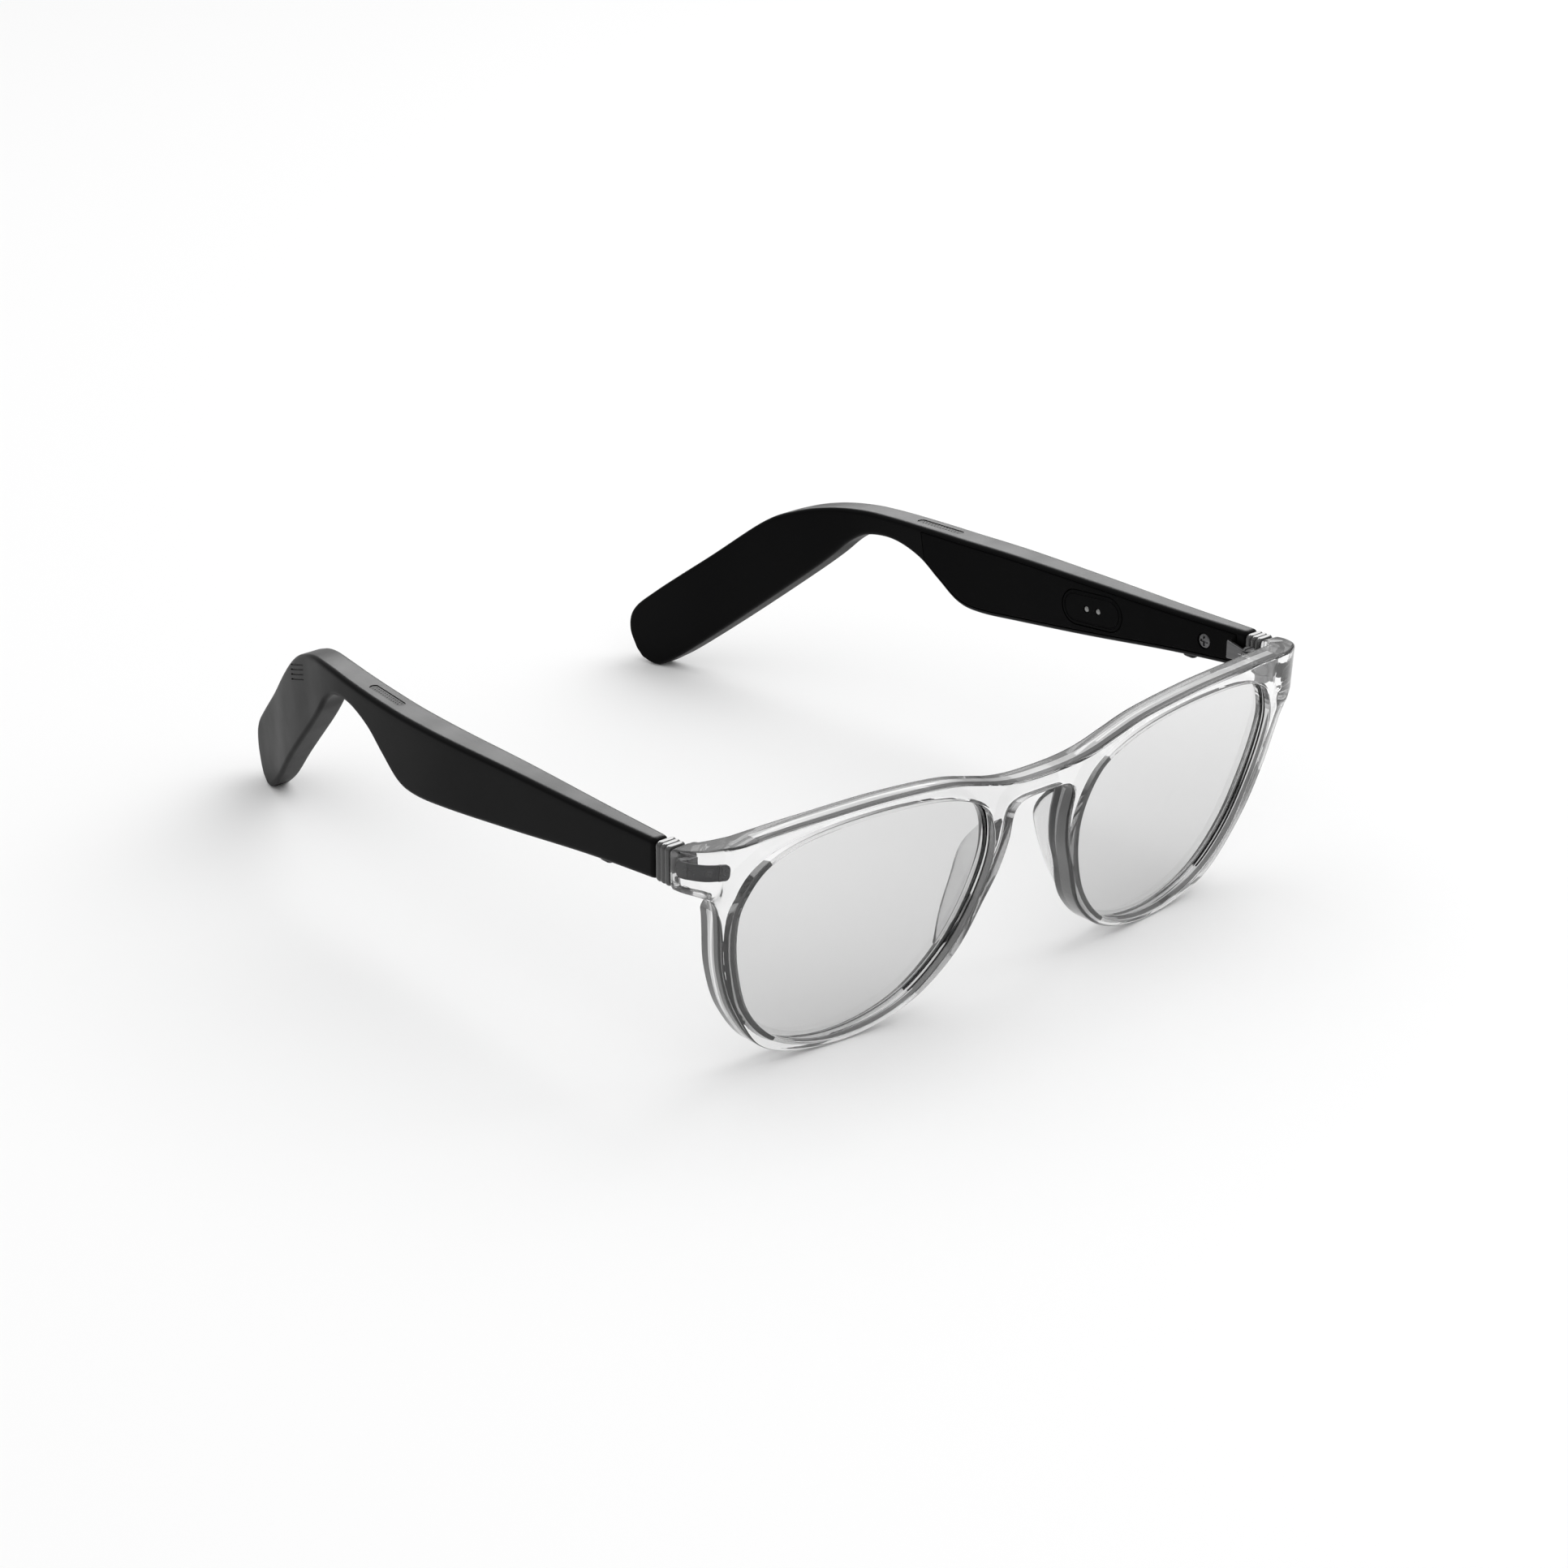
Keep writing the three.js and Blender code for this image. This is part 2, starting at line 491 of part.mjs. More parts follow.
const battery = () => bar(6, (a, b, s) => [
  CELL.x + spread(a, CELL.half_thick, 0.5),
  lerp(CELL.y[0], CELL.y[1], s),
  CELL.z + spread(b, CELL.half_height, 0.6),
]);
const speaker = () => join(
  rod(SPEAKER.radius, ...SPEAKER.can_x, 'x', 24).translate(0, SPEAKER.y, SPEAKER.z),
  box(SPEAKER.box_x, SPEAKER.box_y, SPEAKER.box_z),
);
const microphone = () => box([wallX - MICROPHONE.thick, wallX], MICROPHONE.y, MICROPHONE.z);
const buttonSwitch = () => join(
  box([buttonX - SWITCH.half, buttonX + SWITCH.half], SWITCH.y, SWITCH.z),
  box([buttonX - PLUNGER.half, buttonX + PLUNGER.half], PLUNGER.y, PLUNGER.z),
);

// ---- assembly -----------------------------------------------------------------------------------------
function mirror(geometry) {
  return closed(geometry.clone().scale(-1, 1, 1));
}

const group = new THREE.Group();

function add(name, geometry, material) {
  const mesh = new THREE.Mesh(closed(geometry), material);
  mesh.name = name;
  group.add(mesh);
}

function addPair(name, geometry, material) {
  add(`${name}_left`, geometry, material());
  add(`${name}_right`, mirror(geometry), material());
}

add('front_frame', frontFrame(), clear());
addPair('lens', lens(), lensGlass);
addPair('nose_pad', nosePad(), clear);
addPair('front_hinge', frontHinge(), darkSteel);
addPair('hinge_screw', hingeScrew(), steel);
addPair('temple_hinge', templeHinge(), steel);
addPair('hinge_collar', hingeCollar(), clear);
addPair('temple_shell', templeShell(), black);
addPair('temple_cover', templeCover(), innerBlack);
addPair('cover_screw', coverScrew(), steel);
addPair('charging_port', chargingPort(), innerBlack);
addPair('charging_pin_front', chargingPin(PORT.pins[0]), goldPlate);
addPair('charging_pin_rear', chargingPin(PORT.pins[1]), goldPlate);
addPair('speaker_grille', slotBar(0, SLOT.top, SLOT.depth), innerBlack);
addPair('action_button', buttonBody(0, BUTTON.foot, BUTTON.top), innerBlack);
addPair('button_switch', buttonSwitch(), steel);
addPair('circuit_board', circuitBoard(), boardGreen);
addPair('battery', battery(), cellFoil);
addPair('speaker', speaker(), darkSteel);
addPair('microphone', microphone(), steel);

// The origin is below the middle of the whole object, on the surface it stands on.
const bounds = new THREE.Box3().setFromObject(group);
group.position.set(0, -(bounds.min.y + bounds.max.y) / 2, -bounds.min.z);

export default group;
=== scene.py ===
import math

import bmesh
import bpy
import numpy as np
from mathutils import Matrix, Vector
from mathutils.geometry import delaunay_2d_cdt


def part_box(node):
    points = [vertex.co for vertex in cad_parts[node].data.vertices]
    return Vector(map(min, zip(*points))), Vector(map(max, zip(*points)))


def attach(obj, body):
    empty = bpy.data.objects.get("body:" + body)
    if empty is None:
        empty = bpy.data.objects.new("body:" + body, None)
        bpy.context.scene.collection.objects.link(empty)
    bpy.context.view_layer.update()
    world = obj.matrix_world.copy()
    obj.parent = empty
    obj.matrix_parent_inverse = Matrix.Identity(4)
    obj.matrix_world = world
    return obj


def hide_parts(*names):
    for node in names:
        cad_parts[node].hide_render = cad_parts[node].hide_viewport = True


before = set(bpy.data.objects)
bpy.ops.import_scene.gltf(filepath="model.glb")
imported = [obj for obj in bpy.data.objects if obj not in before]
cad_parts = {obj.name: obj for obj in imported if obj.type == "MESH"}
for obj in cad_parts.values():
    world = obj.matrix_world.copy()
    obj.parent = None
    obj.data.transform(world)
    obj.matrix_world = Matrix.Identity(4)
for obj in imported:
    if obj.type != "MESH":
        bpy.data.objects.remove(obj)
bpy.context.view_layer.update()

# Smart glasses: a clear front and two black electronics temples. Shapes are drawn in millimetres for the
# left side, with the lens bottoms near z = 0, and then carried into the frame's metres and mirrored.
SIDES = {"left": 1, "right": -1}

# ---- driving dimensions, in millimetres ----------------------------------------------------------------
BOW, LEAN, DEPTH = 0.0014, -0.218, 5.1  # the front's curve in plan, its slope with height, its thickness
EDGE_ROUND, OPENING_ROUND, ROUND_STEPS = 0.6, 0.32, 6
FRONT_SPACING, FACE_SPACING, RIM_MARGIN = 0.5, 0.9, 0.45  # steps round the rims, over the faces, and between
GROOVE_SINK = 0.7  # depth of the groove that holds a lens
GROOVE = [(0, 1.3), (GROOVE_SINK, 1.4), (GROOVE_SINK, 3.8), (0, 3.9)]  # (inset, depth) in each opening's wall
# The front's materials: its clear faces, painted shade on its rounded edges, and painted grey bands of light
# and shade in its walls, pale to dark, that stand in for what reflection and refraction draw there.
FACE_SLOT, EDGE_SHADE_SLOT, PAINTED_LIGHT_SLOT, PALE_SHADE_SLOT, GREY_SHADE_SLOT, DARK_SHADE_SLOT = 0, 1, 2, 3, 4, 5
# The outer walls' bands are painted light and painted shade, chosen by depth, place and facing.
BANDS = (1.6, 3.1)  # depths where the outer walls' bands change
SIDEWAYS, NOSE_SIDE = 0.55, 30  # a wall's lean that counts as sideways, and how far out the nose's walls go
END_FROM, END_ABOVE = 60, 34.2  # walls beyond and above these are the end piece's

OPENING = [
    (61.6, 29), (61.0, 34.8), (57.2, 40.6), (49.3, 43.7), (36.9, 44.7), (24.5, 43.7), (16.0, 40.8),
    (12.1, 36.6), (10.5, 29), (12.3, 20), (16.4, 11.7), (23.1, 5.0), (32.0, 1.8), (41.7, 1.8),
    (50.6, 5.3), (56.8, 12.1), (60.2, 21),
]
# Outline of half the front laid flat: the lower edge runs out from under the bridge, and the upper edge back.
FLAT_REACH = 75.7
LOWER_EDGE = [
    (0, 38.5), (2.6, 38.5), (4.6, 38.35), (6.2, 37.6), (6.9, 36.0), (6.85, 33.5), (6.9, 30.5), (7.9, 25.5),
    (10.0, 20.2), (14.2, 11.0), (21.8, 3.8), (31.7, 0.45), (42.3, 0.35), (52.6, 3.6), (59.7, 12.2),
    (63.4, 21.3), (65.0, 29.5), (65.5, 32.3), (66.05, 34.0), (66.85, 35.3), (67.9, 36.3), (69.2, 36.85),
    (71.0, 37.1), (73.2, 37.2), (FLAT_REACH, 37.1),
]
UPPER_EDGE = [
    (FLAT_REACH, 44.2), (72.5, 44.7), (68.9, 45.3), (65.1, 45.7), (62.5, 46.0), (57.0, 46.5), (50.5, 46.9),
    (36.5, 47.3), (23.0, 46.4), (15.5, 44.6), (12.0, 43.6), (8.6, 42.9), (4.6, 42.5), (0, 42.4),
]
# Plan of the end piece's bend, outer and inner face.
BEND_OUTER = [(62.5, -3.5), (65.0, -2.8), (68.2, -0.8), (69.9, 2.4), (70.3, 5.6)]
BEND_INNER = [(62.5, 1.63), (63.2, 1.95), (64.7, 2.7), (66.1, 4.1), (66.5, 5.6)]
BEND_FROM, BEND_HEIGHT, BEND_BLEND = 62.5, 41.0, (33.0, 37.0)  # the bend fades in between these heights
LENS_FRONT, LENS_THICK, LENS_INTO_RIM, LENS_BEVEL = 1.7, 1.8, 0.35, 0.15
LENS_CENTRE, LENS_RINGS = (36.5, 24.0), (0.02, 0.5, 0.85, 0.985)  # shares of the lens's own outline
NOSE_PAD = [  # height, root x, tip x, reach behind the rim
    (35.2, 8.4, 7.6, 0.2), (34, 8.5, 7.7, 1.6), (31, 8.3, 8.0, 3.6), (27.5, 8.5, 9.2, 4.7),
    (22.5, 9.7, 10.9, 3.9), (17, 11.9, 13.2, 2.6), (12.5, 14.2, 15.2, 0.7), (11.4, 14.9, 15.6, 0.2),
]
NOSE_THICK, NOSE_SINK, NOSE_ROWS = 2.0, 0.9, 40

HINGE_Y = 6.3
PIVOT = (64.4, HINGE_Y)
SCREW_FOOT, SCREW_HEAD, SCREW_TOP, SCREW_R = 38.4, 42.55, 43.0, 0.6
SCREW_SLOT_HALF, SCREW_SLOT_DEEP = (1.4, 0.16), 0.25
KNUCKLE_R, KNUCKLE_EDGE = 1.3, 0.2
OUTER_KNUCKLES, MIDDLE_KNUCKLE = ((38.2, 39.6), (41.4, 42.4)), (39.75, 41.25)
ARM_OUTER, ARM_Y, ARM_Z = 68.1, (4.2, 5.3), (39.45, 42.35)
LEAF_X, LEAF_Y, LEAF_Z = (65.6, 66.45), (8.2, 13.0), (37.9, 41.9)
LEAF_FOOT, LEAF_HEAD = (39.4, 38.8), (41.3, 42.3)  # its lower and upper edge, at its front and rear end
# The plate's sunk middle is also painted darker, as painted shade in the recess.
PLATE_SHARE, PLATE_MIDDLE = (0.13, 0.93), (0.30, 0.74)  # shares of the bend: the plate, and its sunk middle
PLATE_HALF, PLATE_Z, PLATE_ACROSS = (0.5, 1.45), 40.9, 0.45  # half thickness and height, and where it lies
PLATE_SUNK, RIDGE, RIDGE_SHARE, RIVET_SHARE = 0.16, 0.12, 0.035, 0.42
COLLAR_Y, COLLAR_Z, COLLAR_THICK, COLLAR_OUTER = (5.9, 9.2), (37.25, 44.3), 3.9, 70.28
# RIB_CREST is how far below the top the collar's painted highlight reaches.
COLLAR_RIBS, RIB_DEPTH, RIB_CREST = 3, 0.32, 0.1
PIVOT_ROOM_R = 1.7  # room in the collar round the knuckles

TEMPLE = [  # top y, top z, bottom y, bottom z
    (9.5, 44.4, 9.5, 37.3), (27, 44.0, 27, 35.5), (48, 43.8, 48, 32.6), (66, 43.5, 66, 30.3),
    (75.5, 43.3, 76, 29.3), (81, 43.2, 81.5, 30.0), (87, 43.2, 86.5, 33.2), (93, 43.2, 91.5, 36.6),
    (99.5, 43.2, 98, 38.6), (106.5, 43, 104.5, 38.2), (114, 42, 109, 35.8), (121, 39.9, 113.5, 31.5),
    (128.5, 36, 119, 26.6), (141, 25.7, 132, 15.6), (152.5, 16.4, 144, 5.6), (157.6, 11.6, 149, 1.9),
    (158.62, 7.5, 152.3, 0.1), (157.15, 3.4, 155.2, 0.9),
]
TEMPLE_STEPS, TEMPLE_RUN = 1700, 150.0  # fine steps through these stations, and their length
TEMPLE_PLAN = [  # y, outer x, thickness
    (9, 70.28, 3.3), (27, 70.28, 4.3), (48, 70.2, 5.2), (70, 70.0, 5.8), (90, 68.4, 5.9), (106, 65.8, 5.6),
    (120, 61.8, 5.8), (134, 57.4, 5.8), (146, 52.6, 5.4), (160, 47.6, 4.6),
]
COVER_SPAN, COVER_INSET, COVER_THICK, SEAM = (0.12, 6.7), 0.9, 1.0, 0.12  # span in stations of TEMPLE
PORT_Y, PORT_Z, PORT_LENGTH, PORT_HEIGHT, PORT_LEAN = 46.6, 38.2, 15.0, 6.7, -0.09
PIN_SPACING, PIN_RADIUS = 2.9, 0.6
COVER_SCREW_Y, COVER_SCREW_Z, COVER_SCREW_R = 19.2, 40.0, 1.4
BUTTON_Y, BUTTON_LENGTH, BUTTON_WIDTH, BUTTON_FOOT, BUTTON_TOP = 24.0, 3.0, 1.8, 35.1, 37.5
SLOT_Y, SLOT_WIDTH, SLOT_TOP = (83.2, 94.2), 1.7, 43.2
HOLES, HOLE_PITCH, HOLE_ROW, HOLE_R = 13, 0.72, 0.34, 0.13  # the grille's holes in each of two rows
VENTS, VENT_Y, VENT_Z, VENT_LENGTH, VENT_PITCH, VENT_SLOPE = 4, 124.8, 35.1, 7.5, 0.95, -0.37
CORE = 0.01  # radius at which the ends of a turned body close

# ---- the studio, in metres and degrees -----------------------------------------------------------------
CAMERA_AT, CAMERA_AZIMUTH, CAMERA_ELEVATION = (-0.4208, -0.5033, 0.3010), -40.78, 23.76
CAMERA_LENS, CAMERA_SENSOR = 89.17, 36
LIGHTS_AIM, LIGHT_SIZE = (0, 0, 0.02), 1.0
KEY_AT, KEY_POWER = (0.75, -0.15, 0.95), 4.2
BACK_AT, BACK_POWER = (0.9, 1.05, 0.85), 33
SKY_STOPS = [(0.0, 0.12), (0.12, 0.25), (0.35, 0.75), (0.6, 1.0)]  # (height, brightness)
FLOOR_REACH, FLOOR_GAP, FLOOR_TONE = 4.0, 0.00002, 0.93

# The frame's own place for these shapes, from a piece that is in both.
pivot_low, pivot_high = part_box("hinge_screw_left")
OFFSET = np.array([0.0, (pivot_low.y + pivot_high.y) * 500 - HINGE_Y, pivot_low.z * 1000 - SCREW_FOOT])


# ---- curves --------------------------------------------------------------------------------------------
def spline(points, count, closed=False):
    """Catmull-Rom points through the given ones, count of them."""
    p = np.array(points, float)
    n = len(p)
    spans = n if closed else n - 1
    t = np.linspace(0, spans, count, endpoint=not closed)
    i = np.minimum(t.astype(int), spans - 1)
    f = (t - i)[:, None]
    if closed:
        before, a, b, after = p[(i - 1) % n], p[i % n], p[(i + 1) % n], p[(i + 2) % n]
    else:
        longer = np.vstack([2 * p[0] - p[1], p, 2 * p[-1] - p[-2]])
        before, a, b, after = longer[i], longer[i + 1], longer[i + 2], longer[i + 3]
    ta, tb = (b - before) / 2, (after - a) / 2
    return a + ta * f + (3 * (b - a) - 2 * ta - tb) * f**2 + (2 * (a - b) + ta + tb) * f**3


def resample(points, spacing, closed):
    """The same line with even steps."""
    p = np.vstack([points, points[:1]]) if closed else np.array(points)
    along = np.concatenate([[0], np.cumsum(np.linalg.norm(np.diff(p, axis=0), axis=1))])
    count = max(3, int(round(along[-1] / spacing)))
    at = np.linspace(0, along[-1], count + 1)
    if closed:
        at = at[:-1]
    return np.column_stack([np.interp(at, along, p[:, k]) for k in range(p.shape[1])])


def relaxed(loop, rounds):
    """A closed loop with its corners softened."""
    for _ in range(rounds):
        loop = 0.5 * loop + 0.25 * (np.roll(loop, 1, 0) + np.roll(loop, -1, 0))
    return loop


def inward(loop):
    """Unit normals that point into a counter-clockwise loop."""
    d = np.roll(loop, -1, 0) - np.roll(loop, 1, 0)
    n = np.column_stack([-d[:, 1], d[:, 0]])
    return n / np.linalg.norm(n, axis=1)[:, None]


def counter_clockwise(loop):
    """The loop in counter-clockwise order."""
    x, y = loop[:, 0], loop[:, 1]
    area = np.sum(x * np.roll(y, -1) - np.roll(x, -1) * y)
    return loop if area > 0 else loop[::-1]


def inside(points, loop):
    """True for each point in the closed loop."""
    x, y = points[:, 0][:, None], points[:, 1][:, None]
    ax, ay = loop[:, 0], loop[:, 1]
    bx, by = np.roll(ax, -1), np.roll(ay, -1)
    crosses = (ay > y) != (by > y)
    reach = ax + (y - ay) * (bx - ax) / np.where(by == ay, 1e-9, by - ay)
    return (crosses & (x < reach)).sum(1) % 2 == 1


def quarter(steps):
    """Angles from 0 to a right angle."""
    return [math.pi / 2 * i / steps for i in range(steps + 1)]


def smoothstep(low, high, value):
    t = np.clip((value - low) / (high - low), 0, 1)
    return t * t * (3 - 2 * t)


plan_line = spline(TEMPLE_PLAN, 4000)


def plan(y, column):
    """Outer x (column 1) or thickness (column 2) of the temple at y."""
    return np.interp(y, plan_line[:, 0], plan_line[:, column])


# ---- meshes --------------------------------------------------------------------------------------------
def new_object(name, points, faces, side=1):
    """A closed mesh in the frame's metres; side -1 mirrors it."""
    at = (np.array(points, float) + OFFSET) / 1000 * np.array([side, 1, 1])
    mesh = bpy.data.meshes.new(name)
    mesh.from_pydata([tuple(p) for p in at], [], [tuple(f) for f in faces])
    work = bmesh.new()
    work.from_mesh(mesh)
    bmesh.ops.remove_doubles(work, verts=work.verts, dist=1e-7)
    bmesh.ops.recalc_face_normals(work, faces=work.faces)
    work.to_mesh(mesh)
    work.free()
    obj = bpy.data.objects.new(name, mesh)
    bpy.context.scene.collection.objects.link(obj)
    return obj


def combine(obj, operation, *tools):
    """Joins tools to obj or cuts them from it, and removes the tools."""
    for tool in tools:
        step = obj.modifiers.new("step", "BOOLEAN")
        step.operation = operation
        step.solver = "EXACT"
        step.material_mode = "TRANSFER"
        step.object = tool
        graph = bpy.context.evaluated_depsgraph_get()
        made = bpy.data.meshes.new_from_object(obj.evaluated_get(graph))
        obj.modifiers.clear()
        obj.data = made
        bpy.data.objects.remove(tool)
    return obj


def finish_piece(obj, look, body, slot, replaced, sharp=35):
    """Shading, material, body and the CAD nodes that a piece stands for; look None keeps its own; slot is not
    used.
    """
    if look:
        obj.data.materials.clear()
        obj.data.materials.append(look)
        for polygon in obj.data.polygons:
            polygon.material_index = 0
    for polygon in obj.data.polygons:
        polygon.use_smooth = True
    obj.data.set_sharp_from_angle(angle=math.radians(sharp))
    weigh = obj.modifiers.new("flat_faces_stay_flat", "WEIGHTED_NORMAL")
    weigh.keep_sharp = True
    weigh.mode = "FACE_AREA_WITH_ANGLE"
    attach(obj, body)
    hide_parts(*replaced)
    return obj


def section(half_a, half_b, radius, corner=5, sides=(3, 8)):
    """A rounded rectangle, counter-clockwise, with its straight sides divided."""
    radius = min(radius, half_a, half_b)
    points = []
    for k, (ca, cb) in enumerate([(1, 1), (-1, 1), (-1, -1), (1, -1)]):
        centre = np.array([ca * (half_a - radius), cb * (half_b - radius)])
        for i in range(corner + 1):
            angle = (k + i / corner) * math.pi / 2
            points.append(centre + radius * np.array([math.cos(angle), math.sin(angle)]))
    divided = []
    for i, point in enumerate(points):
        divided.append(point)
        if i % (corner + 1) == corner:
            after = points[(i + 1) % len(points)]
            count = sides[(i // (corner + 1)) % 2]
            divided += [point + (after - point) * j / count for j in range(1, count)]
    return np.array(divided)


def loft(name, loops, side=1, looks=None):
    """A closed body through loops of equal length, with a fan at each end; looks are its bands' materials."""
    count = len(loops[0])
    points = [p for loop in loops for p in loop]
    faces = []
    for r in range(len(loops) - 1):
        for i in range(count):
            j = (i + 1) % count
            faces.append((r * count + i, r * count + j, (r + 1) * count + j, (r + 1) * count + i))
    for r in (0, len(loops) - 1):
        points.append(np.mean(loops[r], axis=0))
        centre = len(points) - 1
        faces += [(centre, r * count + i, r * count + (i + 1) % count) for i in range(count)]
    made = new_object(name, points, faces, side)
    if looks:
        for polygon in made.data.polygons:
            polygon.material_index = looks[min(polygon.index // count, len(looks) - 1)]
    return made


def end_rounding(steps, radius, length):
    """Pairs of (share along 0..1, inset) that round both ends of a body of this length."""
    start = [(radius * (1 - math.cos(a)) / length, radius * (1 - math.sin(a))) for a in quarter(5)]
    middle = [(s, 0.0) for s in np.linspace(start[-1][0], 1 - start[-1][0], steps)[1:-1]]
    return start + middle + [(1 - s, inset) for s, inset in reversed(start)]


def turned(name, profile, centre, axis, side=1, sides=40):
    """A body turned from (radius, along) pairs about an axis through centre."""
    loops = []
    for radius, along in profile:
        ring = []
        for i in range(sides):
            a = 2 * math.pi * i / sides
            c, s = radius * math.cos(a), radius * math.sin(a)
            offset = {"z": (c, s, along), "x": (along, c, s)}[axis]
            ring.append(np.array(centre) + offset)
        loops.append(ring)
    return loft(name, loops, side)


def bore(radius, low, high):
    """Profile of a plain round hole."""
    return [(CORE, low), (radius, low), (radius, high), (CORE, high)]


def block(name, x, y, z, radius, side=1):
    """A box with all its edges rounded; x, y and z are its (low, high) limits."""
    length = y[1] - y[0]
    loops = []
    for s, inset in end_rounding(3, radius, length):
        half = ((x[1] - x[0]) / 2 - inset, (z[1] - z[0]) / 2 - inset)
        shape = section(*half, max(radius - inset, 0.02), 3, (1, 1))
        loops.append([((x[0] + x[1]) / 2 + a, y[0] + s * length, (z[0] + z[1]) / 2 + b) for a, b in shape])
    return loft(name, loops, side)


def capsule(name, length, height, levels, place, side=1):
    """A body of oval outline; levels are (inset, level) pairs and place turns (a, b, level) into a point."""
    loops = []
    for inset, level in levels:
        radius = height / 2 - inset
        run = (length - height) / 2
        loop = []
        for centre, start in ((run, -90), (-run, 90)):
            for i in range(17):
                angle = math.radians(start + 180 * i / 16)
                loop.append(place(centre + radius * math.cos(angle), radius * math.sin(angle), level))
        loops.append(loop)
    return loft(name, loops, side)


# ---- materials -----------------------------------------------------------------------------------------
def material(name, base, roughness, metallic=0.0):
    """A new material, its node tree and its shader."""
    made = bpy.data.materials.new(name)
    made.use_nodes = True
    shader = made.node_tree.nodes["Principled BSDF"]
    shader.inputs["Base Color"].default_value = (*base, 1)
    shader.inputs["Roughness"].default_value = roughness
    shader.inputs["Metallic"].default_value = metallic
    return made, made.node_tree, shader


def noise(tree, scale, detail=3.0, stretch=(1, 1, 1)):
    """Noise in the piece's own metres; scale is features per metre."""
    where = tree.nodes.new("ShaderNodeTexCoord")
    mapping = tree.nodes.new("ShaderNodeMapping")
    mapping.inputs["Scale"].default_value = stretch
    texture = tree.nodes.new("ShaderNodeTexNoise")
    texture.inputs["Scale"].default_value = scale
    texture.inputs["Detail"].default_value = detail
    tree.links.new(where.outputs["Object"], mapping.inputs["Vector"])
    tree.links.new(mapping.outputs["Vector"], texture.inputs["Vector"])
    return texture.outputs["Fac"]


def ranged(tree, value, low, high):
    """A noise value carried to low..high."""
    step = tree.nodes.new("ShaderNodeMapRange")
    step.inputs["From Min"].default_value = 0.3
    step.inputs["From Max"].default_value = 0.7
    step.inputs["To Min"].default_value = low
    step.inputs["To Max"].default_value = high
    tree.links.new(value, step.inputs["Value"])
    return step.outputs["Result"]


def tinted(tree, value, dark, light):
    """A colour between dark and light."""
    mix = tree.nodes.new("ShaderNodeMix")
    mix.data_type = "RGBA"
    mix.inputs[6].default_value = (*dark, 1)
    mix.inputs[7].default_value = (*light, 1)
    tree.links.new(value, mix.inputs[0])
    return mix.outputs[2]


def bumped(tree, shader, height, distance, strength):
    """Relief of the shader's surface; distance is in metres."""
    bump = tree.nodes.new("ShaderNodeBump")
    bump.inputs["Distance"].default_value = distance
    bump.inputs["Strength"].default_value = strength
    tree.links.new(height, bump.inputs["Height"])
    tree.links.new(bump.outputs["Normal"], shader.inputs["Normal"])


def let_lamps_through(tree, shader, shade):
    """Clear pieces pass the lamps' light, as thin clear plastic does, and keep a pale shadow."""
    output = tree.nodes["Material Output"]
    path = tree.nodes.new("ShaderNodeLightPath")
    clear = tree.nodes.new("ShaderNodeBsdfTransparent")
    clear.inputs["Color"].default_value = (shade, shade, shade, 1)
    mix = tree.nodes.new("ShaderNodeMixShader")
    tree.links.new(path.outputs["Is Shadow Ray"], mix.inputs[0])
    tree.links.new(shader.outputs[0], mix.inputs[1])
    tree.links.new(clear.outputs[0], mix.inputs[2])
    tree.links.new(mix.outputs[0], output.inputs["Surface"])


def clear_plastic(name, dark, light, through, shade):
    """Clear plastic between two greys; through is the share of light that passes, shade its shadow's grey."""
    made, tree, shader = material(name, (light,) * 3, 0.02)
    shader.inputs["Transmission Weight"].default_value = through
    shader.inputs["IOR"].default_value = 1.49
    tree.links.new(ranged(tree, noise(tree, 160), 0.006, 0.03), shader.inputs["Roughness"])
    tree.links.new(tinted(tree, noise(tree, 45), (dark,) * 3, (light,) * 3), shader.inputs["Base Color"])
    let_lamps_through(tree, shader, shade)
    return made


def lens_glass():
    """Neutral glass, a little darker towards its lower edge: painted shade that stands in for the darker
    reflection low on the lens.
    """
    made, tree, shader = material("lens_glass", (0.93, 0.93, 0.93), 0.0)
    shader.inputs["Transmission Weight"].default_value = 1.0
    shader.inputs["IOR"].default_value = 1.5
    where = tree.nodes.new("ShaderNodeTexCoord")
    split = tree.nodes.new("ShaderNodeSeparateXYZ")
    tree.links.new(where.outputs["Object"], split.inputs["Vector"])
    fade = tree.nodes.new("ShaderNodeMapRange")
    fade.inputs["From Min"].default_value = 0.0
    fade.inputs["From Max"].default_value = 0.045
    tree.links.new(split.outputs["Z"], fade.inputs["Value"])
    tint = tinted(tree, fade.outputs["Result"], (0.64,) * 3, (0.80,) * 3)
    tree.links.new(tint, shader.inputs["Base Color"])
    tree.links.new(ranged(tree, noise(tree, 90), 0.0, 0.012), shader.inputs["Roughness"])
    let_lamps_through(tree, shader, 0.9)
    return made


def moulded(name, base, roughness, grain, gloss=0.3, spread=0.025):
    """Moulded plastic: fine spark texture, grain features per metre, and slight variation of its gloss."""
    made, tree, shader = material(name, base, roughness)
    shader.inputs["Specular IOR Level"].default_value = gloss
    fine = noise(tree, grain, 4.0)
    bumped(tree, shader, fine, 0.00002, 0.35)
    uneven = ranged(tree, noise(tree, 120), roughness - spread, roughness + spread)
    tree.links.new(uneven, shader.inputs["Roughness"])
    lighter = tuple(c * 1.7 for c in base)
    tree.links.new(tinted(tree, fine, base, lighter), shader.inputs["Base Color"])
    return made


def brushed(name, dark, light, roughness):
    """Metal with fine lines drawn along the temple's length."""
    made, tree, shader = material(name, light, roughness, 1.0)
    lines = noise(tree, 2200, 4.0, (1, 0.06, 1))
    tree.links.new(tinted(tree, lines, dark, light), shader.inputs["Base Color"])
    tree.links.new(ranged(tree, lines, roughness - 0.07, roughness + 0.09), shader.inputs["Roughness"])
    bumped(tree, shader, lines, 0.00001, 0.4)
    return made


